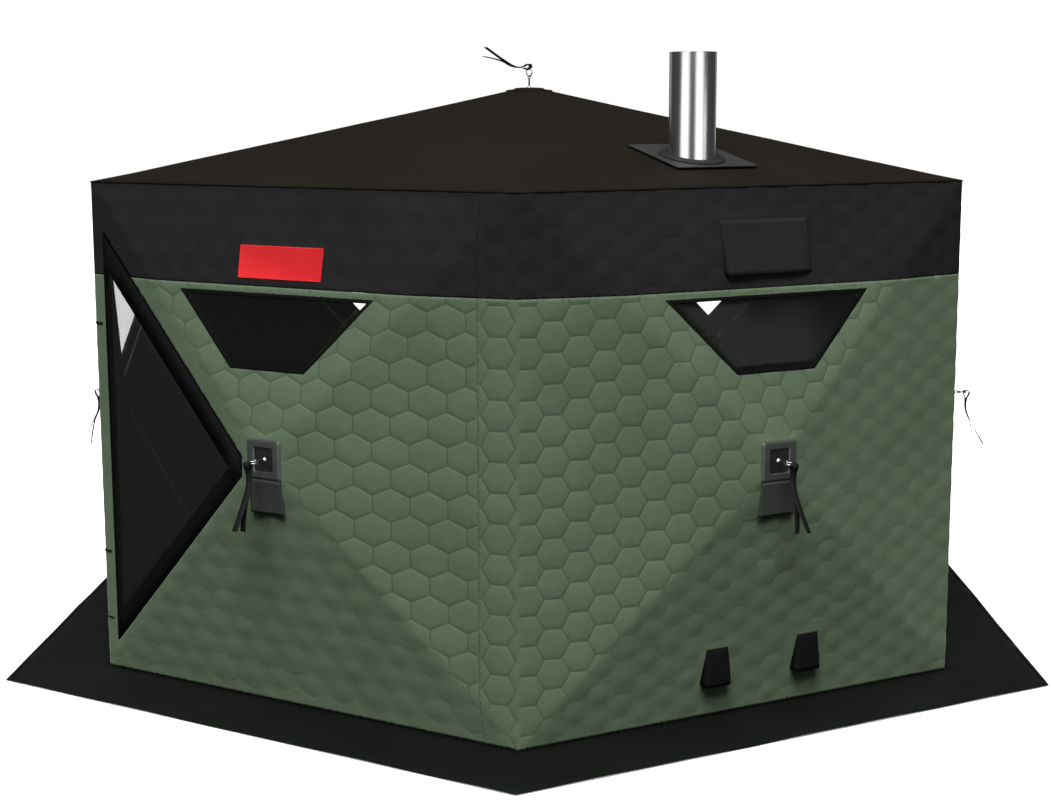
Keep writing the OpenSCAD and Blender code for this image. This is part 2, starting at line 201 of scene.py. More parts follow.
def spread(tree, value, **limits):
    """A value stretched from one range to another, each 0 to 1 unless a limit is given."""
    return add(tree, "MapRange", limits, Value=value).outputs[0]


def relief(tree, strength, distance, height, under=None):
    """Fine relief from a height, on top of the relief under it."""
    below = {} if under is None else {"Normal": under}
    bump = add(tree, "Bump", {"Strength": strength, "Distance": distance}, Height=height, **below)
    return bump.outputs[0]


def feed(tree, shader, **sources):
    """Links each source to the shader's socket of that name."""
    for socket, source in sources.items():
        tree.links.new(source, shader.inputs[socket.replace("_", " ")])


print("helpers for materials are ready")

# %% [markdown]
# ## Quilted polyester
# The walls are 600-denier Oxford polyester, woven and then coated on the back, quilted over
# wadding in hexagons. To the eye it is almost matte, with a soft sheen at a glance, a little
# uneven in colour from fold to fold, and darker down in the stitched lines. The line itself is
# in the mesh; a value called seam, kept on the mesh, darkens its colour: partly as dark thread
# and dust, partly as painted shade in the crease.

# %% Quilted polyester, green and black
THREAD = 4 * MM      # real threads are about 0.5 mm apart, drawn coarser so that they show


def quilted_polyester(name, light, dark, thread_and_crease_shade, sheen):
    made, tree, shader = material(name, Roughness=0.82, Specular_IOR_Level=0.12,
                                  Sheen_Weight=sheen, Sheen_Roughness=0.45)
    patch = noise(tree, 3.2, 3.0)
    crumple = noise(tree, 26.0, 4.0)
    both = add(tree, "Math", {"operation": "MULTIPLY_ADD", 1: 0.4}, {0: crumple, 2: patch})
    shade = spread(tree, both.outputs[0], From_Min=0.45, From_Max=0.95)
    # seam darkens the colour toward the stitch colour: partly dark thread and dust, partly painted
    # shade in the stitch crease
    seam = add(tree, "Attribute", {"attribute_name": "seam"})
    stitch_shaded = add(tree, "Mix", {"data_type": "RGBA", 7: linear(thread_and_crease_shade)},
                   {0: seam.outputs["Fac"], 6: colour_mix(tree, dark, light, shade)})
    weave = add(tree, "TexVoronoi", {"Scale": 1 / THREAD, "distance": "CHEBYCHEV"},
                Vector=place(tree)).outputs["Distance"]
    folds = relief(tree, 0.35, 0.004, crumple)
    feed(tree, shader, Base_Color=stitch_shaded.outputs[2], Normal=relief(tree, 0.18, 0.0006, weave, folds))
    return made


# The third colour is the stitch line: dark thread and dust, with painted crease shade
green_polyester = quilted_polyester("green_quilted_polyester", "5c6a55", "52624d", "3d4c38", 0.06)
black_polyester = quilted_polyester("black_quilted_polyester", "212121", "1b1b1b", "121212", 0.0)
print("made", green_polyester.name, "and", black_polyester.name)

# %% [markdown]
# ## The plain cloths
# The lining inside is black polyester, the roof a tighter brownish black coated cloth, the
# snow skirt a thicker vinyl-coated one with a faint shine, and the bindings and straps are
# woven polypropylene tape. They are one family, so one function makes them, and each says its
# own colour, shine, thread spacing and how deep its weave is.

# %% Plain cloths and tapes
WAVE_TURN = 6.283    # the wave texture counts in radians, and a thread is one full turn


def woven_cloth(name, light, dark, rough, thread, depth, specular=0.1):
    made, tree, shader = material(name, Roughness=rough, Specular_IOR_Level=specular)
    shade = spread(tree, noise(tree, 2.4, 5.0), From_Min=0.35, From_Max=0.65)
    threads = add(tree, "TexWave", {"Scale": 1 / thread / WAVE_TURN, "Distortion": 0.6,
                                    "bands_direction": "DIAGONAL"}, Vector=place(tree))
    folds = relief(tree, 0.25, 0.01, noise(tree, 7.0, 2.0))
    feed(tree, shader, Base_Color=colour_mix(tree, dark, light, shade),
         Normal=relief(tree, 0.3, depth, threads.outputs["Fac"], folds))
    return made


lining_cloth = woven_cloth("black_lining_cloth", "202124", "17181a", 0.85, 4 * MM, 0.4 * MM)
roof_cloth = woven_cloth("coated_roof_cloth", "16130f", "14110d", 0.75, 4 * MM, 0.3 * MM, 0.05)
skirt_vinyl = woven_cloth("vinyl_coated_skirt", "101210", "0c0e0c", 0.7, 5 * MM, 0.5 * MM, 0.1)
binding_tape = woven_cloth("binding_tape", "0b0c0b", "070807", 0.7, 3 * MM, 0.4 * MM, 0.08)
strap_webbing = woven_cloth("polypropylene_webbing", "171b16", "0b0d0b", 0.55, 3 * MM, 0.6 * MM, 0.2)
flap_cloth = woven_cloth("plain_flap_cloth", "252525", "212121", 0.75, 4 * MM, 0.3 * MM, 0.05)
hub_flap_cloth = woven_cloth("grey_flap_cloth", "3b3f3a", "333732", 0.7, 3 * MM, 0.3 * MM, 0.12)
hood_cloth = woven_cloth("black_hood_cloth", "0e100f", "090a09", 0.6, 4 * MM, 0.3 * MM, 0.1)
label_weave = woven_cloth("red_label_weave", "e0262b", "cf1e24", 0.6, 3 * MM, 0.3 * MM, 0.3)
print("made", len(bpy.data.materials), "materials so far")

# %% [markdown]
# ## Netting and clear film
# The door's fly netting is black polyester mesh. Its holes are under a millimetre, so it
# reads as smoked cloth that dims what is behind: it is see-through with an even cover, broken
# only slightly by its weave. A ray crosses both faces of the sheet, so each face has the square
# root of the cover. The windows are clear vinyl film: glossy, a touch cloudy.

# %% Netting and window film
netting, net_tree, net_shader = material("fly_netting", Roughness=0.8, Specular_IOR_Level=0.1,
                                         Base_Color=linear("2b2b2b"))
feed(net_tree, net_shader,
     Alpha=spread(net_tree, noise(net_tree, 180.0, 1.0), To_Min=0.36, To_Max=0.41))
window_vinyl, vinyl_tree, vinyl_shader = material(
    "clear_vinyl_film", Base_Color=linear("333833"), Roughness=0.08, IOR=1.53,
    Specular_IOR_Level=0.5, Alpha=0.10)
feed(vinyl_tree, vinyl_shader, Normal=relief(vinyl_tree, 0.2, 0.01, noise(vinyl_tree, 5.0, 2.0)))
print("made", netting.name, "and", window_vinyl.name)

# %% [markdown]
# ## Moulded nylon
# The hub plates are glass-filled nylon, injection moulded, dark grey with a satin gloss and
# rubbed paler along their edges. The pole bodies are the same plastic in black.

# %% Moulded nylon


def moulded_nylon(name, face, worn, rough, gloss):
    made, tree, shader = material(name, Roughness=rough, IOR=1.53, Specular_IOR_Level=gloss)
    edge = add(tree, "NewGeometry").outputs["Pointiness"]
    rubbed = spread(tree, edge, From_Min=0.52, From_Max=0.60)
    feed(tree, shader, Base_Color=colour_mix(tree, face, worn, rubbed),
         Normal=relief(tree, 0.15, 0.0004, noise(tree, 420.0, 2.0)))
    return made


grey_nylon = moulded_nylon("grey_moulded_nylon", "363a37", "70766f", 0.28, 0.65)
black_nylon = moulded_nylon("black_moulded_nylon", "0e0f10", "17181a", 0.5, 0.25)
print("made", grey_nylon.name, "and", black_nylon.name)

# %% [markdown]
# ## Metals, fibreglass and silicone
# Eyes and rings are bright zinc-plated steel. The stove pipe is stainless sheet with a brushed
# finish: a metal, so it shows only what it mirrors, a little rougher from line to line of the
# brushing. The poles are pultruded fibreglass rod, pale and smooth. The mat and collar are
# moulded silicone rubber, matte, with a fine pebble.

# %% Plated steel, stainless pipe, fibreglass and silicone
plated_steel, plated_tree, plated_shader = material(
    "bright_zinc_plated_steel", Metallic=1.0, Roughness=0.18)
feed(plated_tree, plated_shader,
     Base_Color=colour_mix(plated_tree, "c8c9cc", "f0f0f0", noise(plated_tree, 90.0, 3.0)))

stainless, pipe_tree, pipe_shader = material(
    "brushed_stainless_steel", Metallic=1.0, Roughness=0.24)
drawn_out = add(pipe_tree, "Mapping", {"Scale": (160.0, 160.0, 2.0)}, Vector=place(pipe_tree))
brushing = noise(pipe_tree, 1.0, 3.0, drawn_out.outputs[0])
feed(pipe_tree, pipe_shader, Base_Color=colour_mix(pipe_tree, "bfbfbf", "dedede", brushing),
     Roughness=spread(pipe_tree, brushing, To_Min=0.20, To_Max=0.29))

fibreglass, rod_tree, rod_shader = material("pultruded_fibreglass", Roughness=0.35, IOR=1.52,
                                            Specular_IOR_Level=0.4)
feed(rod_tree, rod_shader,
     Base_Color=colour_mix(rod_tree, "b4ad92", "d0cab2", noise(rod_tree, 60.0, 4.0)))


def silicone(name, light, dark):
    made, tree, shader = material(name, Roughness=0.62, IOR=1.41, Specular_IOR_Level=0.3)
    feed(tree, shader, Base_Color=colour_mix(tree, dark, light, noise(tree, 14.0, 4.0)),
         Normal=relief(tree, 0.2, 0.0005, noise(tree, 300.0, 2.0)))
    return made


mat_silicone = silicone("grey_silicone_mat", "2b2b2a", "252524")
collar_silicone = silicone("black_silicone_collar", "1e1e1e", "181818")
print("made", len(bpy.data.materials), "materials in all")

# %% [markdown]
# ## Helpers for pieces
# Every piece is a part, which is a list of points and a list of faces, put into a mesh, set
# smooth, given its material and the body it rides on. Cloth gets its thickness from a
# Solidify modifier, which closes the sheet into a thin solid with a real edge.

# %% Pieces


def new_piece(name, part, finish, slot, body=BODY, at=None, smooth=True):
    points, faces = part
    mesh = bpy.data.meshes.new(name)
    mesh.from_pydata([tuple(p) for p in points], [], [tuple(f) for f in faces])
    if at is not None:
        mesh.transform(at)
    mesh.validate()
    mesh.polygons.foreach_set("use_smooth", [smooth] * len(mesh.polygons))
    made = in_scene(name, mesh)
    for one in finish if isinstance(finish, list) else [finish]:
        mesh.materials.append(one)
    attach(made, body)
    return made


def fix_normals(piece):
    """Turns every face of a closed piece to look outward."""
    work = bmesh.new()
    work.from_mesh(piece.data)
    bmesh.ops.recalc_face_normals(work, faces=work.faces)
    work.to_mesh(piece.data)
    work.free()
    return piece


def closed_piece(name, part, finish, slot, **more):
    """A piece that is closed by itself and needs no thickness."""
    return fix_normals(new_piece(name, part, finish, slot, **more))


def thicken(piece, thickness, lined=False, offset=-1):
    solid = piece.modifiers.new("cloth_thickness", "SOLIDIFY")
    solid.thickness = thickness
    solid.offset = offset
    if lined:
        solid.material_offset = 1
    return piece


def round_edges(piece, width, segments=2, angle=30):
    bevel = piece.modifiers.new("soft_edges", "BEVEL")
    bevel.width = width
    bevel.segments = segments
    bevel.limit_method = "ANGLE"
    bevel.angle_limit = math.radians(angle)
    return piece


def joined(parts):
    """Several parts as one."""
    points, faces = [], []
    for some_points, some_faces in parts:
        start = len(points)
        points += [tuple(p) for p in some_points]
        faces += [tuple(start + i for i in f) for f in some_faces]
    return points, faces


def moved(part, matrix):
    points, faces = part
    return [matrix @ Vector(p) for p in points], faces


print("helpers for pieces are ready")

# %% [markdown]
# ## Helpers for forms
# Most forms here are a sheet of quads, an outline turned round an axis, a section carried round
# an outline, or a skin over a stack of rings.

# %% Forms


def grid(across, along, where):
    """A grid of quads; where(u, v), with u and v from 0 to 1, gives each point."""
    points = [where(i / across, j / along) for j in range(along + 1) for i in range(across + 1)]
    row = across + 1
    faces = [(j * row + i, j * row + i + 1, (j + 1) * row + i + 1, (j + 1) * row + i)
             for j in range(along) for i in range(across)]
    return points, faces


def lathe(profile, sides=64):
    """A closed ring of (radius, height) points turned round the z axis."""
    count = len(profile)
    points = [(r * math.cos(2 * math.pi * s / sides), r * math.sin(2 * math.pi * s / sides), h)
              for s in range(sides) for r, h in profile]
    faces = [(s * count + i, ((s + 1) % sides) * count + i,
              ((s + 1) % sides) * count + (i + 1) % count, s * count + (i + 1) % count)
             for s in range(sides) for i in range(count)]
    return points, faces


def turns_left(outline):
    """1 for an outline that runs anticlockwise and -1 for one that runs clockwise."""
    area = sum(outline[i - 1][0] * outline[i][1] - outline[i][0] * outline[i - 1][1]
               for i in range(len(outline)))
    return 1 if area > 0 else -1


def swept_outline(outline, section):
    """A closed section of (outward, height) points carried round a closed 2D outline, mitred."""
    count, size, rings = len(outline), len(section), []
    turn_sign = turns_left(outline)
    for i in range(count):
        here = Vector(outline[i])
        before = (here - Vector(outline[i - 1])).normalized()
        after = (Vector(outline[(i + 1) % count]) - here).normalized()
        out_before, out_after = (Vector((d.y, -d.x)) * turn_sign for d in (before, after))
        mitre = (out_before + out_after) / max(0.3, 1 + out_before.dot(out_after))
        rings.append([(here.x + mitre.x * o, here.y + mitre.y * o, h) for o, h in section])
    points = [p for ring in rings for p in ring]
    faces = [(i * size + j, i * size + (j + 1) % size,
              ((i + 1) % count) * size + (j + 1) % size, ((i + 1) % count) * size + j)
             for i in range(count) for j in range(size)]
    return points, faces if turn_sign > 0 else [f[::-1] for f in faces]


def rounded_box(width, height, corner, steps=5):
    """A closed outline of a rectangle with rounded corners."""
    outline = []
    for cx, cy, start in ((1, 1, 0), (-1, 1, 90), (-1, -1, 180), (1, -1, 270)):
        for s in range(steps + 1):
            a = math.radians(start + 90 * s / steps)
            outline.append((cx * (width / 2 - corner) + corner * math.cos(a),
                            cy * (height / 2 - corner) + corner * math.sin(a)))
    return outline


def level(outline, z):
    return [(x, y, z) for x, y in outline]


def stacked(rings, cap=True, closed=False):
    """A skin through rings of points with equal counts, each ring a list of (x, y, z)."""
    size, points = len(rings[0]), [p for ring in rings for p in ring]
    count = len(rings) if closed else len(rings) - 1
    faces = [(i * size + j, i * size + (j + 1) % size,
              ((i + 1) % len(rings)) * size + (j + 1) % size, ((i + 1) % len(rings)) * size + j)
             for i in range(count) for j in range(size)]
    if cap and not closed:
        faces += [tuple(range(size))[::-1], tuple(range((len(rings) - 1) * size, len(rings) * size))]
    return points, faces


print("helpers for forms are ready")

# %% [markdown]
# ## Unevenness
# Nothing sewn is dead even. One smooth wave of the place gives every cloth its small faults,
# with no random numbers, so the tent comes out the same each time.

# %% Unevenness and soft steps


def ripple(x, y, seed=0.0):
    """A smooth, repeatable unevenness from about -1 to 1."""
    return (np.sin(5.1 * x + 2.3 * y + seed) + np.sin(-3.7 * x + 6.9 * y + 2 * seed + 1.3)
            + np.sin(9.7 * x + 4.1 * y + 3 * seed + 2.1) + np.sin(2.9 * x - 11.3 * y + seed + 4.0)) / 4


def smooth_step(t):
    t = np.clip(t, 0, 1)
    return t * t * (3 - 2 * t)


print("unevenness at the middle:", round(float(ripple(0, 0)), 3))


# %% [markdown]
# ## Quilted walls
# A real wall is four triangles of quilted cloth, pulled into a low pyramid by the hub. Cloth,
# wadding and lining are stitched through in hexagons, so each cell puffs up and each line of
# thread pulls down. It could be one bump map, but the puffs show at the wall's edge and catch
# the light, so they are mesh. A flat sheet of hexagon cells is cut along the ridges, windows
# and seams, then every point is pushed onto the pyramid and down into the stitching. Walls left
# of the front corner have their cells in rows, and those right of it in columns, as the cloth
# was turned on the cutting table.

# %% Quilt sizes
CELLS = {"rows": (66 * MM, 58 * MM), "columns": (50 * MM, 58 * MM)}   # half width, point
PUFF = 4.4 * MM           # height of a puff over its stitches
CREASE = 0.8 * MM       # part of it that rises right beside the thread
CREASE_AT = 0.95        # where the crease ends, as a share of the way out from the middle
SLACK = 3.7 * MM        # height of a puff where the cloth hangs slack and shows no thread
RINGS = [1.0, CREASE_AT, 0.75, 0.5, 0.25]
CALM = -2.6 * MM        # height of the cloth along a sewn edge, under the puffs' tops
RIDGE = 1.6 * MM        # how softly the cloth turns over a pole
STRIP = 136 * MM        # corner strip of the front left wall, quilted in columns
QUILT_T = 6 * MM        # thickness of cloth, wadding and lining together
print("quilt cells:", {kind: [round(s / MM) for s in size] for kind, size in CELLS.items()}, "mm")

# %% [markdown]
# ## Hexagon cells
# Two functions share one honeycomb. The first tells how far out a point lies in its cell, which
# gives the puff its height. The second lays out the mesh, with rings of points inside each cell.

# %% Hexagon cells


def cell_share(x, z, kind):
    """How far out each point lies in its hexagon, 0 in the middle and 1 on the stitching, and a
    number from 0 to 1 that is the cell's own."""
    half, point = CELLS[kind]
    p, q = (x, z) if kind == "rows" else (z, x)
    best, own = np.full(x.shape, 9.0), np.zeros(x.shape)
    middle = np.round(q / (1.5 * point))
    for step in (-1, 0, 1):
        row = middle + step
        offset = np.where(np.mod(row, 2) == 1, half, 0.0)
        column = np.round((p - offset) / (2 * half))
        dp, dq = np.abs(p - offset - column * 2 * half), np.abs(q - row * 1.5 * point)
        share = np.maximum(dp / half, dp / (2 * half) + dq / point)
        nearer = share < best
        number = np.mod(np.sin(row * 12.9898 + column * 78.233) * 43758.5453, 1.0)
        best, own = np.where(nearer, share, best), np.where(nearer, number, own)
    return np.clip(best, 0, 1), own


def cell_sheet(kind, low_x, high_x, low_z, high_z, start_x):
    """A flat sheet of hexagon cells that covers a rectangle, with a cell's middle at start_x."""
    half, point = CELLS[kind]
    low_x, high_x = low_x - start_x, high_x - start_x
    low, high = ((low_x, low_z), (high_x, high_z))
    if kind == "columns":
        low, high = low[::-1], high[::-1]
    corners = [(0, point), (half, point / 2), (half, -point / 2), (0, -point),
               (-half, -point / 2), (-half, point / 2)]
    rim = []
    for i, c in enumerate(corners):
        n = corners[(i + 1) % 6]
        rim += [c, ((c[0] + n[0]) / 2, (c[1] + n[1]) / 2)]
    points, faces, around = [], [], len(rim)
    for row in range(int(low[1] / (1.5 * point)) - 2, int(high[1] / (1.5 * point)) + 3):
        offset = half if row % 2 else 0.0
        for column in range(int(low[0] / (2 * half)) - 2, int(high[0] / (2 * half)) + 3):
            p, q = offset + column * 2 * half, row * 1.5 * point
            if p + half < low[0] or p - half > high[0] or q + point < low[1] or q - point > high[1]:
                continue
            start = len(points)
            points += [(p + x * t, q + y * t) for t in RINGS for x, y in rim] + [(p, q)]
            for ring in range(len(RINGS) - 1):
                a, b = start + ring * around, start + (ring + 1) * around
                faces += [(a + i, a + (i + 1) % around, b + (i + 1) % around, b + i)
                          for i in range(around)]
            last, tip = start + (len(RINGS) - 1) * around, start + len(RINGS) * around
            faces += [(last + i, last + (i + 1) % around, tip) for i in range(around)]
    if kind == "columns":
        points = [(y, x) for x, y in points]
    return [(x + start_x, 0.0, z) for x, z in points], faces


print("a test sheet has", len(cell_sheet("rows", -HALF, HALF, BASE, BAND_Z, 0.0)[1]), "faces")

# %% [markdown]
# ## The pyramid of a wall
# The four facets meet in ridges where the poles run. The cloth stands out by the least of their
# four slopes, softened a little where two of them meet.

# %% The pyramid of a wall


def four_slopes(x, z):
    """How far the upper, lower, left and right facets stand out from the wall's foot line."""
    return np.stack([HUB_OUT * (EAVE - z) / (EAVE - HUB_Z), HUB_OUT * (z - BASE) / (HUB_Z - BASE),
                     HUB_OUT * (x + HALF) / HALF, HUB_OUT * (HALF - x) / HALF])


def stands_out(x, z):
    """How far the wall's cloth stands out: the least of the four slopes, blended at the ridges."""
    return -RIDGE * np.log(np.exp(-four_slopes(x, z) / RIDGE).sum(0))


def slackness(x, z, k):
    """1 on the lower facet, the one away from the front and the band, where puffs are soft."""
    weight = np.exp(-four_slopes(x, z) / (2 * MM))
    weight /= weight.sum(0)
    slack = weight[1] + (weight[3] if k < 3 else weight[2])
    return np.where(z > BAND_Z, 1.0, slack)


def to_outline(x, z, outline):
    """Distance from each point to a closed outline."""
    best = np.full(x.shape, 9.0)
    for i, (bx, bz) in enumerate(outline):
        ax, az = outline[i - 1]
        dx, dz = bx - ax, bz - az
        t = np.clip(((x - ax) * dx + (z - az) * dz) / (dx * dx + dz * dz), 0, 1)
        best = np.minimum(best, np.hypot(x - ax - t * dx, z - az - t * dz))
    return best


def inside(x, z, outline):
    """Which points lie inside a closed outline."""
    odd = np.zeros(x.shape, bool)
    for i, (bx, bz) in enumerate(outline):
        ax, az = outline[i - 1]
        if az != bz:
            odd ^= ((az > z) != (bz > z)) & (x < (bx - ax) * (z - az) / (bz - az) + ax)
    return odd


print("a wall stands out", round(float(stands_out(np.zeros(1), np.full(1, HUB_Z))[0]), 3), "m")

# %% [markdown]
# ## Openings and pressed places
# Each wall has a hole for its hub and a window, and the front left wall has the door. Things
# that are clamped or sewn on press the quilt flat. Each one is an outline in the wall's x and z.

# %% Windows and door, as outlines in their own facets
WINDOW_W, WINDOW_LOW_W, WINDOW_H = 806 * MM, 312 * MM, 251 * MM
WINDOW_DROP, WINDOW_SHIFT = 365 * MM, 18 * MM
WINDOW_TAPER = (WINDOW_W - WINDOW_LOW_W) / 2 / WINDOW_H
POINT_SHORT, POINT_HALF = 0.2 * MM, 0.1 * MM      # a pointed window ends in a tiny flat
UP_COS = math.cos(TOP_LEAN)


def at_front(k):
    return k in (FRONT_RIGHT, FRONT_LEFT)


def window_outline(k, inset=0.0):
    """The window in the upper facet's x and y: cut off flat in the two front walls."""
    slant = inset * math.hypot(1, WINDOW_TAPER)
    low = WINDOW_H - inset if at_front(k) else (WINDOW_W / 2 - slant) / WINDOW_TAPER - POINT_SHORT
    side = {FRONT_RIGHT: WINDOW_SHIFT, FRONT_LEFT: -WINDOW_SHIFT}.get(k, 0)

    def half_at(drop):
        return max(POINT_HALF, WINDOW_W / 2 - WINDOW_TAPER * drop - slant)

    return [(side + s * half_at(d), -WINDOW_DROP - d)
            for s, d in ((-1, inset), (1, inset), (1, low), (-1, low))]


JAMB, DOOR_W, DOOR_GAP, HINGE_GAP = 61 * MM, 741 * MM, 5.3 * MM, 0.5 * MM
DOOR_TOP, DOOR_BOTTOM, NOSE_TOP, NOSE_BOTTOM = 1619 * MM, 115 * MM, 899 * MM, 835 * MM
DOOR_FALL = (DOOR_TOP - NOSE_TOP) / DOOR_W
DOOR_CLIMB = (NOSE_BOTTOM - DOOR_BOTTOM) / DOOR_W


def door_outline(grow, hinge_grow):
    """The door in the left facet's x and y, from the foot of its hinge edge round."""
    up, down = grow * math.hypot(1, DOOR_FALL), grow * math.hypot(1, DOOR_CLIMB)
    return [(JAMB - hinge_grow, DOOR_BOTTOM - down - hinge_grow * DOOR_CLIMB),
            (JAMB + DOOR_W + grow, NOSE_BOTTOM - down + grow * DOOR_CLIMB),
            (JAMB + DOOR_W + grow, NOSE_TOP + up - grow * DOOR_FALL),
            (JAMB - hinge_grow, DOOR_TOP + up + hinge_grow * DOOR_FALL)]


print("window", WINDOW_W, "m wide, door", round(DOOR_TOP - DOOR_BOTTOM, 3), "m tall")

# %% [markdown]
# ## What each wall has
# The hub's hole and the window are in every wall. The hoods and the vent flap are on the front
# right one, and the door and the label are on the front left one.

# %% Openings and pressed places of a whole wall
HUB_HOLE, PLATE_W, PLATE_H, PLATE_T = 116 * MM, 141 * MM, 138 * MM, 6 * MM
HOOD_PLACES, HOOD_LOW = (-158 * MM, 220 * MM), 116 * MM
HOOD_H, HOOD_W, HOOD_D = 137 * MM, 96 * MM, 40 * MM
VENT_X, VENT_W, VENT_DROP = 21 * MM, 353 * MM, 111 * MM
VENT_L, VENT_LIFT, VENT_SEAM = 185 * MM, 24 * MM, 16 * MM
LABEL_Z, LABEL_W, LABEL_H = 1551 * MM, 352 * MM, 112 * MM


def box_outline(x, z, width, height):
    return [(x - width / 2, z - height / 2), (x + width / 2, z - height / 2),
            (x + width / 2, z + height / 2), (x - width / 2, z + height / 2)]


def openings(k):
    holes = [box_outline(0, HUB_Z, HUB_HOLE, HUB_HOLE),
             [(x, EAVE + y * UP_COS) for x, y in window_outline(k)]]
    if k == FRONT_LEFT:
        holes.append([(-HALF + u * math.cos(SIDE_TURN), v)
                      for u, v in door_outline(DOOR_GAP, HINGE_GAP)])
    return holes


def pressed(k):
    """Places where something hard or sewn on holds the quilt down at its full height."""
    places = [box_outline(0, HUB_Z, PLATE_W, PLATE_H)]
    if k == FRONT_RIGHT:
        hood_z = BASE + (HOOD_LOW + HOOD_H / 2) * math.cos(LOW_LEAN)
        places += [box_outline(x, hood_z, HOOD_W, HOOD_H) for x in HOOD_PLACES]
        places.append(box_outline(VENT_X, EAVE - VENT_DROP * UP_COS, VENT_W, VENT_SEAM))
    if k == FRONT_LEFT:
        places.append(box_outline(0, LABEL_Z, LABEL_W, LABEL_H))
    return places


print("openings in each wall:", [len(openings(k)) for k in range(SIDES)])


# %% [markdown]
# ## Cutting the quilt
# The flat sheet is cut along its edges, along the ridges where the poles bend it, and round the
# openings. A second cut runs beside each one, so that the cloth can turn down at the seam.

# %% Cut one stretch of quilt
WELD = 0.05 * MM           # points closer than this become one
BESIDE = 9 * MM            # distance of the second cut beside an edge or an opening
RIDGE_SIDES = (-14 * MM, 0, 14 * MM)
REACH = 60 * MM            # how far past an opening its cuts may run


def cut_line(work, a, b, keep=None, near=None):
    """Cuts the flat sheet along the line a-b. keep says to drop what lies right of a-b, and near
    holds the cut to faces whose middle passes the test."""
    faces = [f for f in work.faces if near is None or near(f.calc_center_median())]
    geometry = list({v for f in faces for v in f.verts} | {e for f in faces for e in f.edges}) + faces
    dx, dz = b[0] - a[0], b[1] - a[1]
    bmesh.ops.bisect_plane(work, geom=geometry, dist=1e-6, plane_co=(a[0], 0, a[1]),
                           plane_no=(dz, 0, -dx), clear_outer=bool(keep))


def cut_ridge(work, corner_x, corner_z):
    """Cuts along the ridge from the hub to one corner of the wall, and beside it."""
    hub = Vector((0, HUB_Z))
    along = (Vector((corner_x, corner_z)) - hub).normalized()
    aside = Vector((-along.y, along.x))
    for offset in RIDGE_SIDES:
        start = hub + aside * offset
        cut_line(work, start, start + along,
                 near=lambda c: c.x * corner_x > 0 and (c.z - HUB_Z) * (corner_z - HUB_Z) > 0)


def cut_hole(work, hole):
    """Cuts round an opening and beside it, and takes out what lies inside."""
    middle = sum((Vector(p) for p in hole), Vector((0, 0))) / len(hole)
    reach = max((Vector(p) - middle).length for p in hole) + REACH
    for i, b in enumerate(hole):
        a, b = Vector(hole[i - 1]), Vector(b)
        if (b - a).length < MM:
            continue
        outward = Vector(((b - a).y, -(b - a).x)).normalized() * turns_left(hole)
        for offset in (0, BESIDE):
            cut_line(work, a + outward * offset, b + outward * offset,
                     near=lambda c: (Vector((c.x, c.z)) - middle).length < reach)
    centres = [f.calc_center_median() for f in work.faces]
    gone = inside(np.array([c.x for c in centres]), np.array([c.z for c in centres]), hole)
    bmesh.ops.delete(work, geom=[f for f, out in zip(list(work.faces), gone) if out],
                     context="FACES")


def cut_flat_sheet(kind, low_x, high_x, low_z, high_z, start_x, k):
    points, faces = cell_sheet(kind, low_x, high_x, low_z, high_z, start_x)
    mesh = bpy.data.meshes.new("sheet")
    mesh.from_pydata(points, [], faces)
    work = bmesh.new()
    work.from_mesh(mesh)
    bpy.data.meshes.remove(mesh)
    bmesh.ops.remove_doubles(work, verts=work.verts, dist=WELD)
    box = [(low_x, low_z), (high_x, low_z), (high_x, high_z), (low_x, high_z)]
    for i in range(4):
        a, b = Vector(box[i]), Vector(box[(i + 1) % 4])
        cut_line(work, a, b, keep=True)
        inward = Vector((-(b - a).y, (b - a).x)).normalized() * BESIDE
        cut_line(work, a + inward, b + inward)
    for corner_x in (-HALF, HALF):
        for corner_z in (BASE, EAVE):
            cut_ridge(work, corner_x, corner_z)
    for hole in openings(k):
        cut_hole(work, hole)
    bmesh.ops.remove_doubles(work, verts=work.verts, dist=WELD)
    bmesh.ops.triangulate(work, faces=work.faces)
    return work


print("each opening gets a second cut", round(BESIDE / MM), "mm outside it")

# %% [markdown]
# ## Shaping the quilt
# The height of the cloth comes from the cell it lies in, fades to a calm level along the sewn
# edges, and is held down flat under the plates, hoods and label.

# %% Height of the cloth over a wall
FADE = 11 * MM             # how far from a sewn edge the puffs are full again
HOLD_FADE = 22 * MM        # how far from a pressed place they are
SKIN = 0.2 * MM            # the cloth stays this far under the exact model's face
DOOR_FADE = 0.03           # how wide the turn to plain cloth is, beside the door
DOOR_SIDE = -0.02          # where it starts


def puff_height(x, z, share, own, slack, k):
    """Crisp puffs where the cloth is tight, with a crease beside the thread, and soft ones
    where it is slack."""
    tall = PUFF * (0.80 + 0.20 * own)
    beside = smooth_step((1 - share) / (1 - CREASE_AT))
    crisp = -PUFF + CREASE * beside + (tall - CREASE) * (1 - share ** 2)
    soft = -0.8 * MM - SLACK * (0.75 + 0.25 * own) * (0.5 - 0.5 * np.cos(math.pi * share))
    height = crisp * (1 - slack) + soft * slack
    return height + 0.7 * MM * ripple(6 * x, 6 * z, k) * (1 - share)


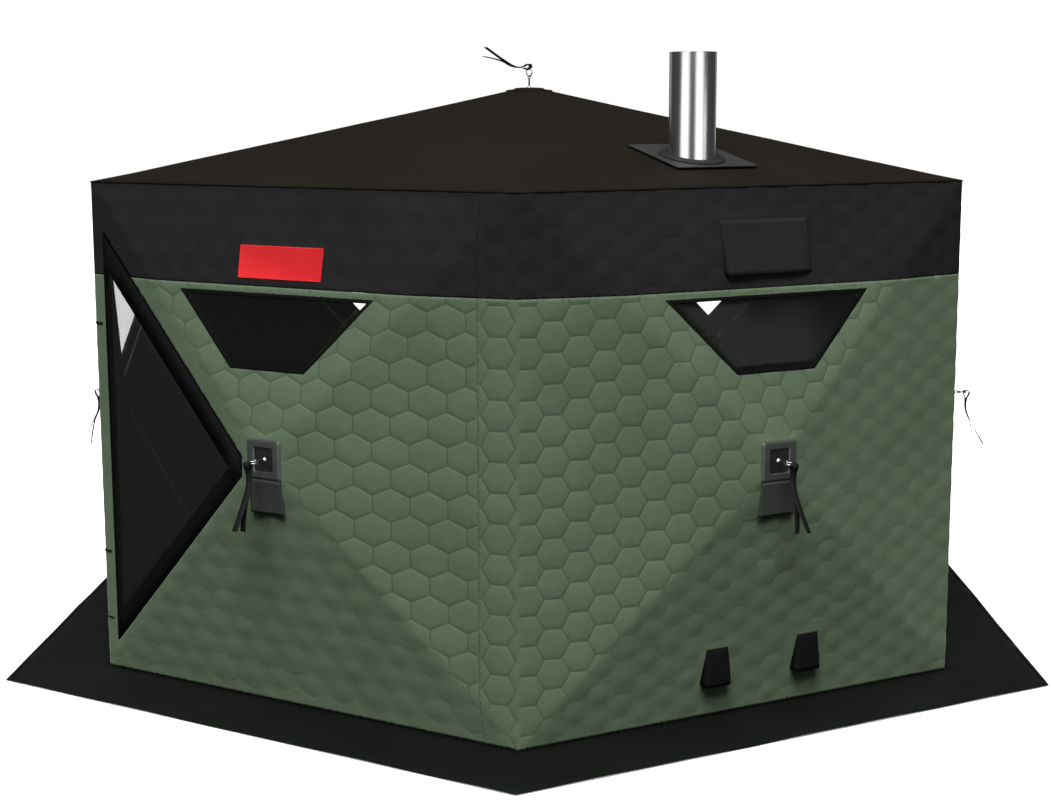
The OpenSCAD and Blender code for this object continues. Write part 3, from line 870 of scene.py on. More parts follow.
def quilt_height(x, z, kind, k, low_z, high_z, start_x):
    """Height of the cloth over the wall's surface, 0 at the top of a puff, and the seam value."""
    share, own = cell_share(x - start_x, z, kind)
    slack = slackness(x, z, k)
    height = puff_height(x, z, share, own, slack, k)
    # seam marks the stitch lines for the material, which darkens them as dark thread and dust and as
    # painted shade in the crease; it is weaker where the cloth hangs slack
    seam = np.clip((share - CREASE_AT) / (1 - CREASE_AT), 0, 1) * (1 - 0.9 * slack)
    edge = np.minimum(np.minimum(x + HALF, HALF - x) * 2.2, np.minimum(z - low_z, high_z - z))
    for hole in openings(k):
        edge = np.minimum(edge, to_outline(x, z, hole))
    if k == FRONT_LEFT:          # the door's margins and jamb are plain cloth
        left_of_ridge = DOOR_SIDE - (x + np.abs(z - HUB_Z) * HALF / (EAVE - HUB_Z))
        door_side = smooth_step(left_of_ridge / DOOR_FADE)
        plain = CALM + 0.6 * MM * ripple(9 * x, 4 * z)
        height = height * (1 - door_side) + plain * door_side
        seam = seam * (1 - door_side)
        edge = np.minimum(edge, np.abs(x - (HALF - STRIP)) * 3)
    free = smooth_step(edge / FADE)
    height = CALM + (height - CALM) * free
    for place_outline in pressed(k):
        away = np.where(inside(x, z, place_outline), 0, to_outline(x, z, place_outline))
        hold = smooth_step(1 - away / HOLD_FADE)
        height = height * (1 - hold) - SKIN * hold
        seam = seam * (1 - hold)
    return np.minimum(height, -SKIN), seam * free


print("puffs stand", round(PUFF / MM, 1), "mm over their stitches")

# %% [markdown]
# ## One stretch of quilt
# Every point moves onto the pyramid and along its normal by the cloth's height. At the corners
# of the hexagon the normal turns to run straight out, so that two walls meet in one line.

# %% Shape and sew one stretch
CORNER_TURN = 0.02         # over how much of the wall's length the normal turns, in metres
STRAIGHT_OUT = (0.5, -0.866)


def unit(vectors):
    return vectors / np.linalg.norm(vectors, axis=1)[:, None]


def shape_quilt(work, kind, k, low_z, high_z, start_x):
    """Pushes the flat sheet onto the wall's pyramid and into its stitches."""
    flat = np.array([v.co for v in work.verts], float).reshape(-1, 3)
    x, z = flat[:, 0], flat[:, 2]
    height, seam = quilt_height(x, z, kind, k, low_z, high_z, start_x)
    step = 1e-4
    slope_x = (stands_out(x + step, z) - stands_out(x - step, z)) / (2 * step)
    slope_z = (stands_out(x, z + step) - stands_out(x, z - step)) / (2 * step)
    normal = unit(np.stack([-slope_x, -np.ones_like(x), -slope_z], 1))
    corner = smooth_step((np.abs(x) - (HALF - CORNER_TURN)) / CORNER_TURN)[:, None]
    out_x, out_y = STRAIGHT_OUT
    radial = np.stack([np.sign(x) * out_x, np.full(x.shape, out_y), np.zeros_like(x)], 1)
    normal = unit(normal * (1 - corner) + radial * corner)
    place_now = np.stack([x, -stands_out(x, z), z], 1) + normal * height[:, None]
    for v, p in zip(work.verts, place_now):
        v.co = p
    return seam


def quilt(name, k, low_z, high_z, cloth, slot):
    """One stretch of a wall's quilt, between two heights."""
    kinds = [("columns" if k < 3 else "rows", -HALF, HALF, 0.0)]
    if k == FRONT_LEFT:
        kinds = [("rows", -HALF, HALF - STRIP, 0.0),
                 ("columns", HALF - STRIP, HALF, HALF - STRIP / 2)]
    points, faces, seams = [], [], []
    for kind, low_x, high_x, start_x in kinds:
        work = cut_flat_sheet(kind, low_x, high_x, low_z, high_z, start_x, k)
        seams.append(shape_quilt(work, kind, k, low_z, high_z, start_x))
        start = len(points)
        points += [tuple(v.co) for v in work.verts]
        for index, v in enumerate(work.verts):
            v.index = index
        for f in work.faces:
            f.normal_update()
            loop = [start + v.index for v in f.verts]
            faces.append(loop if f.normal.y < 0 else loop[::-1])
        work.free()
    piece = new_piece(name, (points, faces), [cloth, lining_cloth], slot, at=on_wall(k))
    # The seam value goes on the mesh for the material's darker stitch lines, which are partly painted
    # crease shade
    seam = piece.data.attributes.new("seam", "FLOAT", "POINT")
    seam.data.foreach_set("value", np.concatenate(seams).astype(np.float32))
    thicken(piece, QUILT_T, lined=True)
    return piece


print("the quilt and its lining are", round(QUILT_T / MM), "mm thick")

# %% [markdown]
# ## The twelve stretches
# Each wall has a green quilt below and a black one round the top. The front left one also
# stands for the door's jamb and margins, which are the same cloth.


# %% Make the twelve stretches of quilt
triangles = 0
for wall_number, wall_name in enumerate(WALLS):
    lower = quilt(f"quilt_{wall_name}", wall_number, BASE, BAND_Z - SEAM / 2, green_polyester,
                  "green_quilt")
    upper = quilt(f"quilt_band_{wall_name}", wall_number, BAND_Z + SEAM / 2, EAVE, black_polyester,
                  "black_quilt")
    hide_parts(f"wall_{wall_name}")
    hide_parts(f"band_{wall_name}")
    if wall_number == FRONT_LEFT:
        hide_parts("door_jamb", "door_margin_upper", "door_margin_lower")
    triangles += 2 * (len(lower.data.polygons) + len(upper.data.polygons))
print("quilts:", triangles, "triangles with their linings")

# %% [markdown]
# ## Roof
# The roof is one tight cover of smooth coated cloth, cut as six triangles and pulled over six
# poles. It is modelled as one thin skin with soft ridges where the poles lift it. A cloth
# simulation would only find the same tight surface, so the slight sag between the poles is
# given directly. It is open under the cap and round the stove pipe.

# %% Shape of the roof
ROOF_HOLE, ROOF_RIDGE, ROOF_SAG = 84 * MM, 26 * MM, 5 * MM
ROOF_UNDER = 0.8 * MM                # the cloth lies this far under the exact model's face
EAVE_FADE, PEAK_FLAT, PEAK_FADE = 0.12, 0.06, 0.3
SAG_START, SAG_WIDTH = 0.15, 0.5
PIPE_D, PIPE_X, PIPE_Y = 164 * MM, 0.0, 390 * MM
PIPE_AT = on_wall(FRONT_RIGHT) @ Vector((PIPE_X, PIPE_Y * math.cos(ROOF_TILT),
                                         EAVE + PIPE_Y * math.sin(ROOF_TILT)))
OUTWARD = [on_wall(k).to_3x3() @ Vector((0, -1, 0)) for k in range(SIDES)]
CORNERS = [on_wall(k) @ Vector((-HALF, 0, 0)) for k in range(SIDES)]


def part_of(value, span):
    """0 to 1 as a value runs from 0 to a span."""
    return min(1.0, max(0.0, value / span))


def roof_height(x, y):
    """Height of the roof's upper face over a point, with its ridges rounded and a little sag."""
    reach = [x * n.x + y * n.y for n in OUTWARD]
    flat = max(reach)
    soft = ROOF_RIDGE * math.log(sum(math.exp((r - flat) / ROOF_RIDGE) for r in reach)) + flat
    inner = part_of(APOTHEM - flat, EAVE_FADE) * part_of(flat - PEAK_FLAT, PEAK_FADE)
    from_ridge = flat - sorted(reach)[-2]
    sag = ROOF_SAG * part_of(from_ridge, SAG_WIDTH) * inner * part_of(flat - SAG_START, PEAK_FADE)
    wave = ROOF_UNDER * float(ripple(1.7 * x, 1.7 * y, 2.0)) * inner
    slope = RISE * (1 - (flat + (soft - flat) * inner) / APOTHEM)
    return EAVE + slope - sag + wave - ROOF_UNDER * inner


def hexagon_ring(k_step, steps, radius_corner):
    """Points along a hexagon whose corners lie at radius_corner, k_step points in turn."""
    k, s = divmod(k_step, steps)
    a, b = CORNERS[k % SIDES] / SIDE, CORNERS[(k + 1) % SIDES] / SIDE
    return (a + (b - a) * (s / steps)) * radius_corner


def ring_quads(rings, around):
    """Quads between rings of points, with as many points in each ring."""
    return [(ring * around + i, (ring + 1) * around + i,
             (ring + 1) * around + (i + 1) % around, ring * around + (i + 1) % around)
            for ring in range(rings) for i in range(around)]


print("roof rises from", EAVE, "to", round(roof_height(0.1, 0.0), 3), "m near the peak")

# %% [markdown]
# ## Roof cover
# Rings of points run from the hole under the cap out to the eave. The ones near the stove pipe
# gather on the rim of its hole, and the quads inside it are left out.

# %% Roof cover
ROOF_STEPS, ROOF_RINGS = 40, 40
RIM_R = PIPE_D / 2 + 6 * MM
GATHER_FROM, GATHER_TO = PIPE_D / 2 - 20 * MM, PIPE_D / 2 + 34 * MM
LEFT_OUT_R = PIPE_D / 2 + 3 * MM


def from_pipe(p):
    return math.hypot(p.x - PIPE_AT.x, p.y - PIPE_AT.y)


roof_points = []
for ring in range(ROOF_RINGS + 1):
    radius = ROOF_HOLE + (SIDE - ROOF_HOLE) * ring / ROOF_RINGS
    for step in range(SIDES * ROOF_STEPS):
        p = hexagon_ring(step, ROOF_STEPS, radius)
        away = from_pipe(p)
        if GATHER_FROM < away < GATHER_TO:
            pull = RIM_R / away
            p = Vector((PIPE_AT.x + (p.x - PIPE_AT.x) * pull, PIPE_AT.y + (p.y - PIPE_AT.y) * pull, 0))
        roof_points.append((p.x, p.y, roof_height(p.x, p.y)))
roof_faces = [quad for quad in ring_quads(ROOF_RINGS, SIDES * ROOF_STEPS)
              if from_pipe(sum((Vector(roof_points[i]) for i in quad), Vector()) / 4) > LEFT_OUT_R]
roof_cover = new_piece("roof_cover", (roof_points, roof_faces), [roof_cloth, lining_cloth],
                       "roof_fabric")
thicken(roof_cover, 5 * MM, lined=True)
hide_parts("roof")
print("roof:", len(roof_faces), "faces")

# %% [markdown]
# ## Snow skirt
# A flap of vinyl-coated cloth runs round the foot. It lies on the ground, where snow is heaped
# on it to keep the wind out. It is a flat ring with a hem, lifted here and there by a few
# millimetres, as a folded cloth never lies dead flat.

# %% Snow skirt
SKIRT_W, SKIRT_T, SKIRT_LIFT, SKIRT_EDGE = 332 * MM, 2 * MM, 7 * MM, 0.3 * MM
SKIRT_STEPS, SKIRT_RINGS, HEM_STEPS = 44, 9, 11
HEM_SECTION = [(-9 * MM, 0.4 * MM), (-9 * MM, 1.6 * MM), (0, 2.2 * MM), (8.6 * MM, 1.6 * MM),
               (9 * MM, 0.6 * MM)]
skirt_inner = SIDE - 10 * MM
skirt_outer = SIDE + (SKIRT_W - SKIRT_EDGE) / math.cos(math.radians(30))


def skirt_lift(x, y):
    """How far the skirt's outer edge lifts off the ground at a place."""
    return (0.5 + 0.5 * float(ripple(1.5 * x, 1.5 * y, 5.0))) * SKIRT_LIFT


skirt_points = []
for ring in range(SKIRT_RINGS + 1):
    share = ring / SKIRT_RINGS
    for step in range(SIDES * SKIRT_STEPS):
        p = hexagon_ring(step, SKIRT_STEPS, skirt_inner + (skirt_outer - skirt_inner) * share)
        skirt_points.append((p.x, p.y, SKIRT_T + 0.2 * MM + skirt_lift(p.x, p.y) * share))
skirt = new_piece("skirt_cloth", (skirt_points, ring_quads(SKIRT_RINGS, SIDES * SKIRT_STEPS)),
                  skirt_vinyl, "skirt_fabric")
thicken(skirt, SKIRT_T)
hem_line = [hexagon_ring(i, HEM_STEPS, skirt_outer - 9 * MM) for i in range(SIDES * HEM_STEPS)]
hem_points, hem_faces = swept_outline([(p.x, p.y) for p in hem_line], HEM_SECTION)
hem_points = [(x, y, z + SKIRT_T + skirt_lift(x, y) - 1 * MM) for x, y, z in hem_points]
skirt_hem = closed_piece("skirt_hem", (hem_points, hem_faces), skirt_vinyl, "skirt_fabric")
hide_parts("snow_skirt")
print("skirt reaches", round(skirt_outer, 3), "m from the middle at its corners")

# %% [markdown]
# ## Windows
# Each window is a pane of clear vinyl film held by hook tape in a black cloth frame. The pane
# is a thin sheet with a slight belly, and the frame is a tape run round the opening.

# %% Windows
FILM_T, FILM_DEPTH, FILM_BELLY, FILM_GAP = 1 * MM, 4 * MM, 2.5 * MM, 0.15 * MM
FRAME_SECTION = [(-8 * MM, -5 * MM), (3 * MM, -5 * MM), (4 * MM, -1.6 * MM),
                 (2.5 * MM, -0.6 * MM), (-5 * MM, -0.6 * MM), (-8 * MM, -2 * MM)]


def pane_part(outline):
    """A sheet of quads between an outline's four corners, with a slight belly."""
    (left_x, top_y), (right_x, _), (low_right, low_y), (low_left, _) = outline

    def pane_point(u, v):
        left = left_x + (low_left - left_x) * v
        right = right_x + (low_right - right_x) * v
        belly = FILM_BELLY * math.sin(math.pi * u) * math.sin(math.pi * v)
        return (left + (right - left) * u, top_y + (low_y - top_y) * v, -FILM_DEPTH - belly)

    return grid(20, 10, pane_point)


for wall_number, wall_name in enumerate(WALLS):
    is_front = at_front(wall_number)
    film = new_piece(f"window_pane_{wall_name}", pane_part(window_outline(wall_number, FILM_GAP)),
                     window_vinyl, "window_film", at=on_upper(wall_number))
    thicken(film, FILM_T, offset=1)
    edge = window_outline(wall_number)
    if not is_front:
        edge = edge[:2] + [(0, -WINDOW_DROP - WINDOW_W / 2 / WINDOW_TAPER)]
    closed_piece(f"window_frame_{wall_name}", swept_outline(edge, FRAME_SECTION), binding_tape,
                 "black_quilt", at=on_upper(wall_number))
    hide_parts(f"window_{wall_name}")
print("windows: front panes", 2, "and pointed panes", SIDES - 2)

# %% [markdown]
# ## Door
# The door is a triangle of black fly netting in a wide cloth border, zipped to the wall on two
# sides and sewn along its upright edge, which is where it turns. It rides on the door body.
# The border is one flat cloth with a rounded binding on its edges.

# %% Door border
DOOR_T, BORDER_T = 3 * MM, 2.2 * MM
BORDER_HINGE, BORDER_UP, BORDER_LOW = 35 * MM, 108 * MM, 80 * MM
BORDER_STEP = 0.06         # the longest step along the border's outlines, in metres
net_top, net_bottom = DOOR_TOP - BORDER_UP, DOOR_BOTTOM + BORDER_LOW
net_nose = (net_top - net_bottom) / (DOOR_FALL + DOOR_CLIMB)
net_outline = [(JAMB + BORDER_HINGE, net_bottom + BORDER_HINGE * DOOR_CLIMB),
               (JAMB + net_nose, net_bottom + net_nose * DOOR_CLIMB),
               (JAMB + BORDER_HINGE, net_top - BORDER_HINGE * DOOR_FALL)]


def flat_with_hole(outer, inner, z):
    """A flat cloth between two closed outlines."""
    work = bmesh.new()
    edges = []
    for outline in (outer, inner):
        around = []
        for i, b in enumerate(outline):
            a = outline[i - 1]
            steps = max(1, int(math.dist(a, b) / BORDER_STEP))
            around += [work.verts.new((a[0] + (b[0] - a[0]) * s / steps,
                                       a[1] + (b[1] - a[1]) * s / steps, z)) for s in range(steps)]
        edges += [work.edges.new((around[i - 1], around[i])) for i in range(len(around))]
    bmesh.ops.triangle_fill(work, edges=edges, use_beauty=True, normal=(0, 0, 1))
    bmesh.ops.recalc_face_normals(work, faces=work.faces)
    work.verts.index_update()
    flip = sum(f.normal.z for f in work.faces) < 0
    part = ([tuple(v.co) for v in work.verts],
            [[v.index for v in (reversed(f.verts) if flip else f.verts)] for f in work.faces])
    work.free()
    return part


door_place = on_left(FRONT_LEFT)
border = new_piece("door_border_cloth", flat_with_hole(door_outline(0, 0), net_outline, -0.4 * MM),
                   binding_tape, "door_binding", body=DOOR, at=door_place)
thicken(border, BORDER_T)
print("door:", round(DOOR_TOP - DOOR_BOTTOM, 3), "m tall along its upright edge")

# %% [markdown]
# ## Door edges and zip tape
# A round binding runs along both edges of the border. The zip's tape stays on the wall, where it
# closes the gap round the door from behind.

# %% Door edges and zip tape
ROLL_R = 1.5 * MM
ROLL = [(ROLL_R * math.cos(a), ROLL_R * math.sin(a) - ROLL_R)
        for a in (math.radians(d) for d in range(0, 360, 45))]
ZIP_SECTION = [(-13 * MM, -9.6 * MM), (17 * MM, -9.6 * MM), (17 * MM, -8.7 * MM),
               (2 * MM, -8.7 * MM), (0.5 * MM, -7.4 * MM), (-2 * MM, -7.4 * MM),
               (-3.5 * MM, -8.7 * MM), (-13 * MM, -8.7 * MM)]
closed_piece("door_edge_roll", joined([swept_outline(door_outline(-ROLL_R, -ROLL_R), ROLL),
                                       swept_outline(net_outline, ROLL)]),
             binding_tape, "door_binding", body=DOOR, at=door_place)
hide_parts("door_border")
closed_piece("door_zip_tape", swept_outline(door_outline(3 * MM, 0), ZIP_SECTION), binding_tape,
             "door_binding", at=door_place)
print("the binding is", round(2 * ROLL_R / MM), "mm thick")

# %% [markdown]
# ## Door netting
# The netting is a triangle of quads that narrows to the door's nose, with a slight belly.

# %% Door netting
NET_T, NET_BELLY, NET_NOSE = 0.8 * MM, 3 * MM, 0.9995


def net_point(u, v):
    low, nose, top = (Vector(p) for p in net_outline)
    here = low.lerp(top, v).lerp(nose, u * NET_NOSE)
    belly = NET_BELLY * math.sin(math.pi * u) * math.sin(math.pi * v)
    return (here.x, here.y, -DOOR_T / 2 + 0.4 * MM + belly)


net = new_piece("door_net", grid(24, 24, net_point), netting, "door_netting", body=DOOR,
                at=door_place)
thicken(net, NET_T)
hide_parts("door_mesh")
print("netting:", len(net.data.polygons), "quads")

# %% [markdown]
# ## Ties and label
# Small sewn parts. The ties hold the rolled door open. The label is blank woven cloth with a
# raised rim.

# %% Ties and label
TIE_HEIGHTS, TIE_H, TIE_LONG, TIE_T = (194 * MM, 447 * MM, 1295 * MM), 8 * MM, 42 * MM, 1.5 * MM
LOW_TIE_SHARE = 0.6        # the lowest tie is this much narrower


def rounded_strip(width, height, thick, bow, corner=1.2 * MM, steps=10):
    """A short strap lying in x and y that bows up in its middle."""
    section = [(-height / 2, 0), (height / 2, 0), (height / 2, thick * 0.6),
               (height / 2 - corner, thick), (-height / 2 + corner, thick),
               (-height / 2, thick * 0.6)]
    return stacked([[(i / steps * width, y, z + bow * math.sin(math.pi * i / steps))
                     for y, z in section] for i in range(steps + 1)])


tie_parts = [moved(rounded_strip(TIE_LONG, TIE_H * (LOW_TIE_SHARE if i == 0 else 1), TIE_T, TIE_T),
                   shift(0.5 * MM, z, -1 * MM)) for i, z in enumerate(TIE_HEIGHTS)]
ties = closed_piece("ties", joined(tie_parts), strap_webbing, "webbing", at=on_left(FRONT_LEFT))
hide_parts("door_ties")

LABEL_STEPS = [(0, 4, 0.15), (0, 4, 1.2), (2, 3, 1.65), (7, 2, 1.65), (9, 2, 1.15)]
label_rings = [level(rounded_box(LABEL_W - less * MM, LABEL_H - less * MM, corner * MM), z * MM)
               for less, corner, z in LABEL_STEPS]
label = closed_piece("blank_label", stacked(label_rings), label_weave, "label_red",
                     at=on_upper(FRONT_LEFT) @ shift(0, -(EAVE - LABEL_Z) / UP_COS, 0))
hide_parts("label_patch")
print("ties and label made")

# %% [markdown]
# ## Vent flap and hoods
# The vent flap hangs from a seam on the band and is closed at its sides. The two hoods are stiff
# cloth pockets that keep snow out of the low vents, and they are open below.

# %% Vent flap and hoods


def vent_point(u, v):
    x = (u - 0.5) * VENT_W
    side = smooth_step(u / 0.03) * smooth_step((1 - u) / 0.10)
    wave = 1.5 * MM * math.sin(3 * math.pi * u + 0.6) * v
    stand = VENT_LIFT * (v ** 1.3) * (0.85 - 0.45 * u) + wave
    return (x, -VENT_L * v * 0.992, 1.2 * MM + (stand + 1.5 * MM) * float(side))


vent = new_piece("vent_cloth", grid(40, 12, vent_point), flap_cloth, "flap_fabric",
                 at=on_upper(FRONT_RIGHT) @ shift(VENT_X, -VENT_DROP, 0))
vent.data.flip_normals()
thicken(vent, 2 * MM)
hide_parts("vent_flap")


def hood_point(u, v):
    half_width = (43 + 13 * v) * MM
    deep = 2 * MM + (HOOD_D - 6 * MM) * v ** 0.9
    a = math.pi * (1 - u)
    x = half_width * math.copysign(abs(math.cos(a)) ** 0.3, math.cos(a))
    z = deep * abs(math.sin(a)) ** 0.3
    bowed = 3 * MM * math.sin(math.pi * u) * v ** 3
    return (x, HOOD_H - (HOOD_H - 12 * MM) * v - bowed, z + 0.5 * MM)


for side_name, hood_x in zip(("left", "right"), HOOD_PLACES):
    hood = new_piece(f"vent_hood_{side_name}", grid(28, 10, hood_point), hood_cloth, "hood_fabric",
                     at=on_lower(FRONT_RIGHT) @ shift(hood_x, HOOD_LOW, 0))
    hood.data.flip_normals()
    thicken(hood, 2.5 * MM)
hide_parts("air_vents")

# %% [markdown]
# ## Wall hubs
# Outside, each hub is a moulded frame that clamps the cloth, with the pole body's dark face in
# its window and an eye bolt through the middle. A ring and a doubled strap hang in the eye: one
# pulls the strap, and the wall pops out. A cloth flap hangs below the frame.

# %% Hub frames
PLATE_BACK = -HUB_HOLE / 2 * min(math.tan(a) for a in (TOP_LEAN, LOW_LEAN, SIDE_TURN)) + 0.3 * MM
PLATE_FACE = PLATE_BACK + PLATE_T
OUTSIDE = (PLATE_W, PLATE_H, 9 * MM)         # width, height and corner
RECESS = (76 * MM, 80 * MM, 6 * MM)          # the exact model's 65 mm is its window at the back
FRAME_STEPS = [(OUTSIDE, 0, PLATE_BACK), (OUTSIDE, 0, PLATE_FACE - 4.6 * MM),
               (OUTSIDE, -7, PLATE_FACE - 0.4 * MM), (OUTSIDE, -9, PLATE_FACE),
               (OUTSIDE, -14, PLATE_FACE), (RECESS, 4, PLATE_FACE),
               (RECESS, 0, PLATE_FACE - 1.6 * MM), (RECESS, 0, PLATE_BACK)]
frame_rings = []
for (w, h, corner), grow, z in FRAME_STEPS:
    grown = 2 * grow * MM
    frame_rings.append(level(rounded_box(w + grown, h + grown, corner), z))
frame_part = stacked(frame_rings, cap=False, closed=True)
hub_frames = closed_piece("hub_frames", joined([moved(frame_part, on_hub(k)) for k in range(SIDES)]),
                          grey_nylon, "hub_grey")
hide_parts("hub_plates")
hub_frames.data.polygons.foreach_set("use_smooth", [False] * len(hub_frames.data.polygons))
round_edges(hub_frames, 0.5 * MM, segments=2, angle=20)
print("hub frames:", SIDES, "of", round(PLATE_W / MM), "mm")

# %% [markdown]
# ## Eye bolts and rings
# Each bolt is a flanged nut, a black sleeve and a round eye. The ring hangs against the eye's
# far side. The seventh bolt stands on the roof cap.

# %% Eye bolts, rings and bolt heads
RING_R, RING_WIRE, EYE_OUT, EYE_WIRE = 18 * MM, 2.5 * MM, 36 * MM, 2 * MM
EYE_R = RING_WIRE * 2 + 1.5 * MM
RING_SHIFT = EYE_R - EYE_WIRE - RING_WIRE - 0.3 * MM
CAP_T = 16 * MM
CAP_Z = EAVE + RISE - ROOF_HOLE * RISE / SIDE + 0.3 * MM
NUT = [(3.6, 0), (9, 0), (9, 1.4), (6.4, 2.2), (6.2, 6.5), (5, 7.4), (3.6, 7.6)]   # in mm
SLEEVE_R, SLEEVE_CORE, SLEEVE_UP = 3.4 * MM, 0.1 * MM, 5 * MM


def torus(radius, wire, sides=40, round_sides=12):
    """A ring in the y-z plane, round the x axis."""
    rings = []
    for s in range(sides):
        a = 2 * math.pi * s / sides
        rings.append([(wire * math.sin(b), (radius + wire * math.cos(b)) * math.cos(a),
                       (radius + wire * math.cos(b)) * math.sin(a))
                      for b in (2 * math.pi * t / round_sides for t in range(round_sides))])
    return stacked(rings, closed=True)


def eye_bolt(foot_z, reach):
    """A flanged nut where the bolt meets its plate, a sleeve on the shank, and the eye."""
    nut = lathe([(r * MM, foot_z + h * MM) for r, h in NUT], sides=24)
    low, high = foot_z + SLEEVE_UP, reach - EYE_R
    sleeve = lathe([(SLEEVE_CORE, low), (SLEEVE_R, low), (SLEEVE_R, high), (SLEEVE_CORE, high)],
                   sides=20)
    return nut, sleeve, moved(torus(EYE_R, EYE_WIRE, 28), shift(0, 0, reach))


def pull_ring(reach):
    """The ring lies across the eye, so that it hangs in the plane of x and z."""
    place_on_eye = shift(0, 0, reach + RING_SHIFT + RING_R) @ turn("Z", math.radians(90))
    return moved(torus(RING_R, RING_WIRE, 48), place_on_eye)


ROOF_PULL = shift(0, 0, CAP_Z + CAP_T) @ turn("Z", math.radians(-52))
hub_spots = [(on_hub(k), PLATE_BACK, PLATE_FACE + EYE_OUT) for k in range(SIDES)]
pull_spots = hub_spots + [(ROOF_PULL, -6 * MM, EYE_OUT)]
nuts_and_eyes, sleeve_parts, ring_parts = [], [], []
for spot, foot_z, reach in pull_spots:
    nut, sleeve, eye = (moved(part, spot) for part in eye_bolt(foot_z, reach))
    nuts_and_eyes += [nut, eye]
    sleeve_parts.append(sleeve)
    ring_parts.append(moved(pull_ring(reach), spot))
bolts = closed_piece("eye_bolt_set", joined(nuts_and_eyes), plated_steel, "bright_wire")
closed_piece("eye_bolt_sleeves", joined(sleeve_parts), black_nylon, "hub_black")
rings_piece = closed_piece("pull_ring_set", joined(ring_parts), plated_steel, "bright_wire")
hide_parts("eye_bolts")
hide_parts("pull_rings")
print("bolts and rings:", len(pull_spots))

# %% [markdown]
# ## Pull straps
# Each strap is one ribbon of webbing folded over its ring. Its route is given in the ribbon's
# own plane, in millimetres down from the ring's top and out from it, and smoothed. The two tails
# turn a little aside, each strap by its own amount.

# %% Pull straps
WEB_W, WEB_T, WEB_EDGE = 24 * MM, 2 * MM, 0.7 * MM
OUTER_LEG = [(-6, 5), (-4, 11), (3, 14), (13, 11), (28, 4), (58, 1), (88, 8), (125, 26),
             (170, 50), (215, 76)]
INNER_LEG = [(-6, 5), (-6, -4), (1, -9), (12, -7), (28, -2), (58, -1), (88, 5), (125, 21),
             (170, 32), (222, 40)]
ROUTE = OUTER_LEG[::-1] + INNER_LEG[1:]
TAIL_START, TAIL_LONG = 0.06, 0.16
ASIDE, TWIST = (14 * MM, -9 * MM), (0.35, -0.25)      # for the outer and the inner leg


def smooth_route(route, steps=5):
    """Catmull-Rom points through a route."""
    rounded, last = [], len(route) - 1
    for i in range(last):
        p0, p1, p2, p3 = (Vector(route[max(0, min(last, j))]) for j in (i - 1, i, i + 1, i + 2))
        for s in range(steps):
            t = s / steps
            rounded.append(0.5 * (2 * p1 + (p2 - p0) * t + (2 * p0 - 5 * p1 + 4 * p2 - p3) * t * t
                                  + (3 * p1 - p0 - 3 * p2 + p3) * t ** 3))
    return rounded + [Vector(route[-1])]


def web_section():
    """The webbing's flat section, with its corners cut off."""
    w, t, e = WEB_W / 2, WEB_T / 2, WEB_EDGE
    return [(-w, -t + e), (-w + e, -t), (w - e, -t), (w, -t + e),
            (w, t - e), (w - e, t), (-w + e, t), (-w, t - e)]


def strap_part(reach, sway):
    """The doubled strap: one ribbon over the ring, with its two tails turned a little aside."""
    path = [p * MM for p in smooth_route(ROUTE)]
    across = Vector((1, 0, 0))
    rings = []
    for i, p in enumerate(path):
        d = (path[min(i + 1, len(path) - 1)] - path[max(i - 1, 0)]).normalized()
        leg = 0 if i < len(path) / 2 else 1
        tail = part_of(p.x - TAIL_START, TAIL_LONG)
        aside = sway * tail * tail * ASIDE[leg]
        twist = sway * tail * TWIST[leg]
        normal = Vector((0, d.y, d.x))
        width = (across * math.cos(twist) + normal * math.sin(twist)).normalized()
        normal = (normal * math.cos(twist) - across * math.sin(twist)).normalized()
        centre = Vector((aside, -p.x, p.y + reach + RING_SHIFT + 2 * RING_R))
        rings.append([centre + width * w + normal * n for w, n in web_section()])
    return stacked(rings)


def sway_of(i):
    """Each strap sways the other way from its neighbour, and less round the tent."""
    return (-1) ** i * (1 - 0.15 * i)


strap_parts = [moved(strap_part(reach, sway_of(i)), spot)
               for i, (spot, _, reach) in enumerate(pull_spots)]
straps = closed_piece("pull_strap_set", joined(strap_parts), strap_webbing, "webbing")
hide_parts("pull_straps")
print("straps:", len(pull_spots), "of", len(smooth_route(ROUTE)), "rings each")

# %% [markdown]
# ## Flaps below the hubs
# A stiff grey cloth flap hangs from the lower edge of each frame, flares a little, and leans in
# toward the wall.

# %% Flaps below the hubs
FLAP_L, FLAP_FLARE, FLAP_LEAN = 119 * MM, 10 * MM, 17 * MM


def flap_point(u, v):
    half_width = (PLATE_W + FLAP_FLARE * v) / 2 - 4 * MM
    curl = 2.2 * MM * math.sin(2.2 * math.pi * u + 0.5) * v
    return ((u - 0.5) * 2 * half_width, -PLATE_H / 2 - 0.3 * MM - FLAP_L * v,
            PLATE_FACE - 0.5 * MM + curl - FLAP_LEAN * v - 2 * MM * math.sin(math.pi * v))


for wall_number, wall_name in enumerate(WALLS):
    flap = new_piece(f"hub_flap_{wall_name}", grid(16, 12, flap_point), hub_flap_cloth, "hub_grey",
                     at=on_hub(wall_number))
    flap.data.flip_normals()
    thicken(flap, 2.2 * MM)
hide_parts("hub_flaps")
print("flaps below the hubs:", SIDES)

# %% [markdown]
# ## Roof cap
# A disc of roof cloth over a moulded washer covers the hole at the peak, with the same eye,
# ring and strap. It is turned from one outline: a brim that drops onto the roof, a step and a
# low crown.

# %% Roof cap
CAP_PROFILE = [(0.1, -2), (80, -3.5), (92, -6), (94, -5.4), (94, -2), (90, 1), (66, 3.5),
               (61, 4.5), (58, 7.5), (54, 9), (30, 10.5), (0.1, 11)]      # in mm
cap = closed_piece("roof_cap", lathe([(r * MM, CAP_Z + h * MM) for r, h in CAP_PROFILE], sides=72),
                   roof_cloth, "roof_fabric")
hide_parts("roof_hub_cap")
print("cap top", round(CAP_Z + CAP_T, 4), "m")

# %% [markdown]
# ## Stove pipe
# The pipe is stainless sheet rolled into a tube, with a lock seam down its back and a rolled top
# edge.

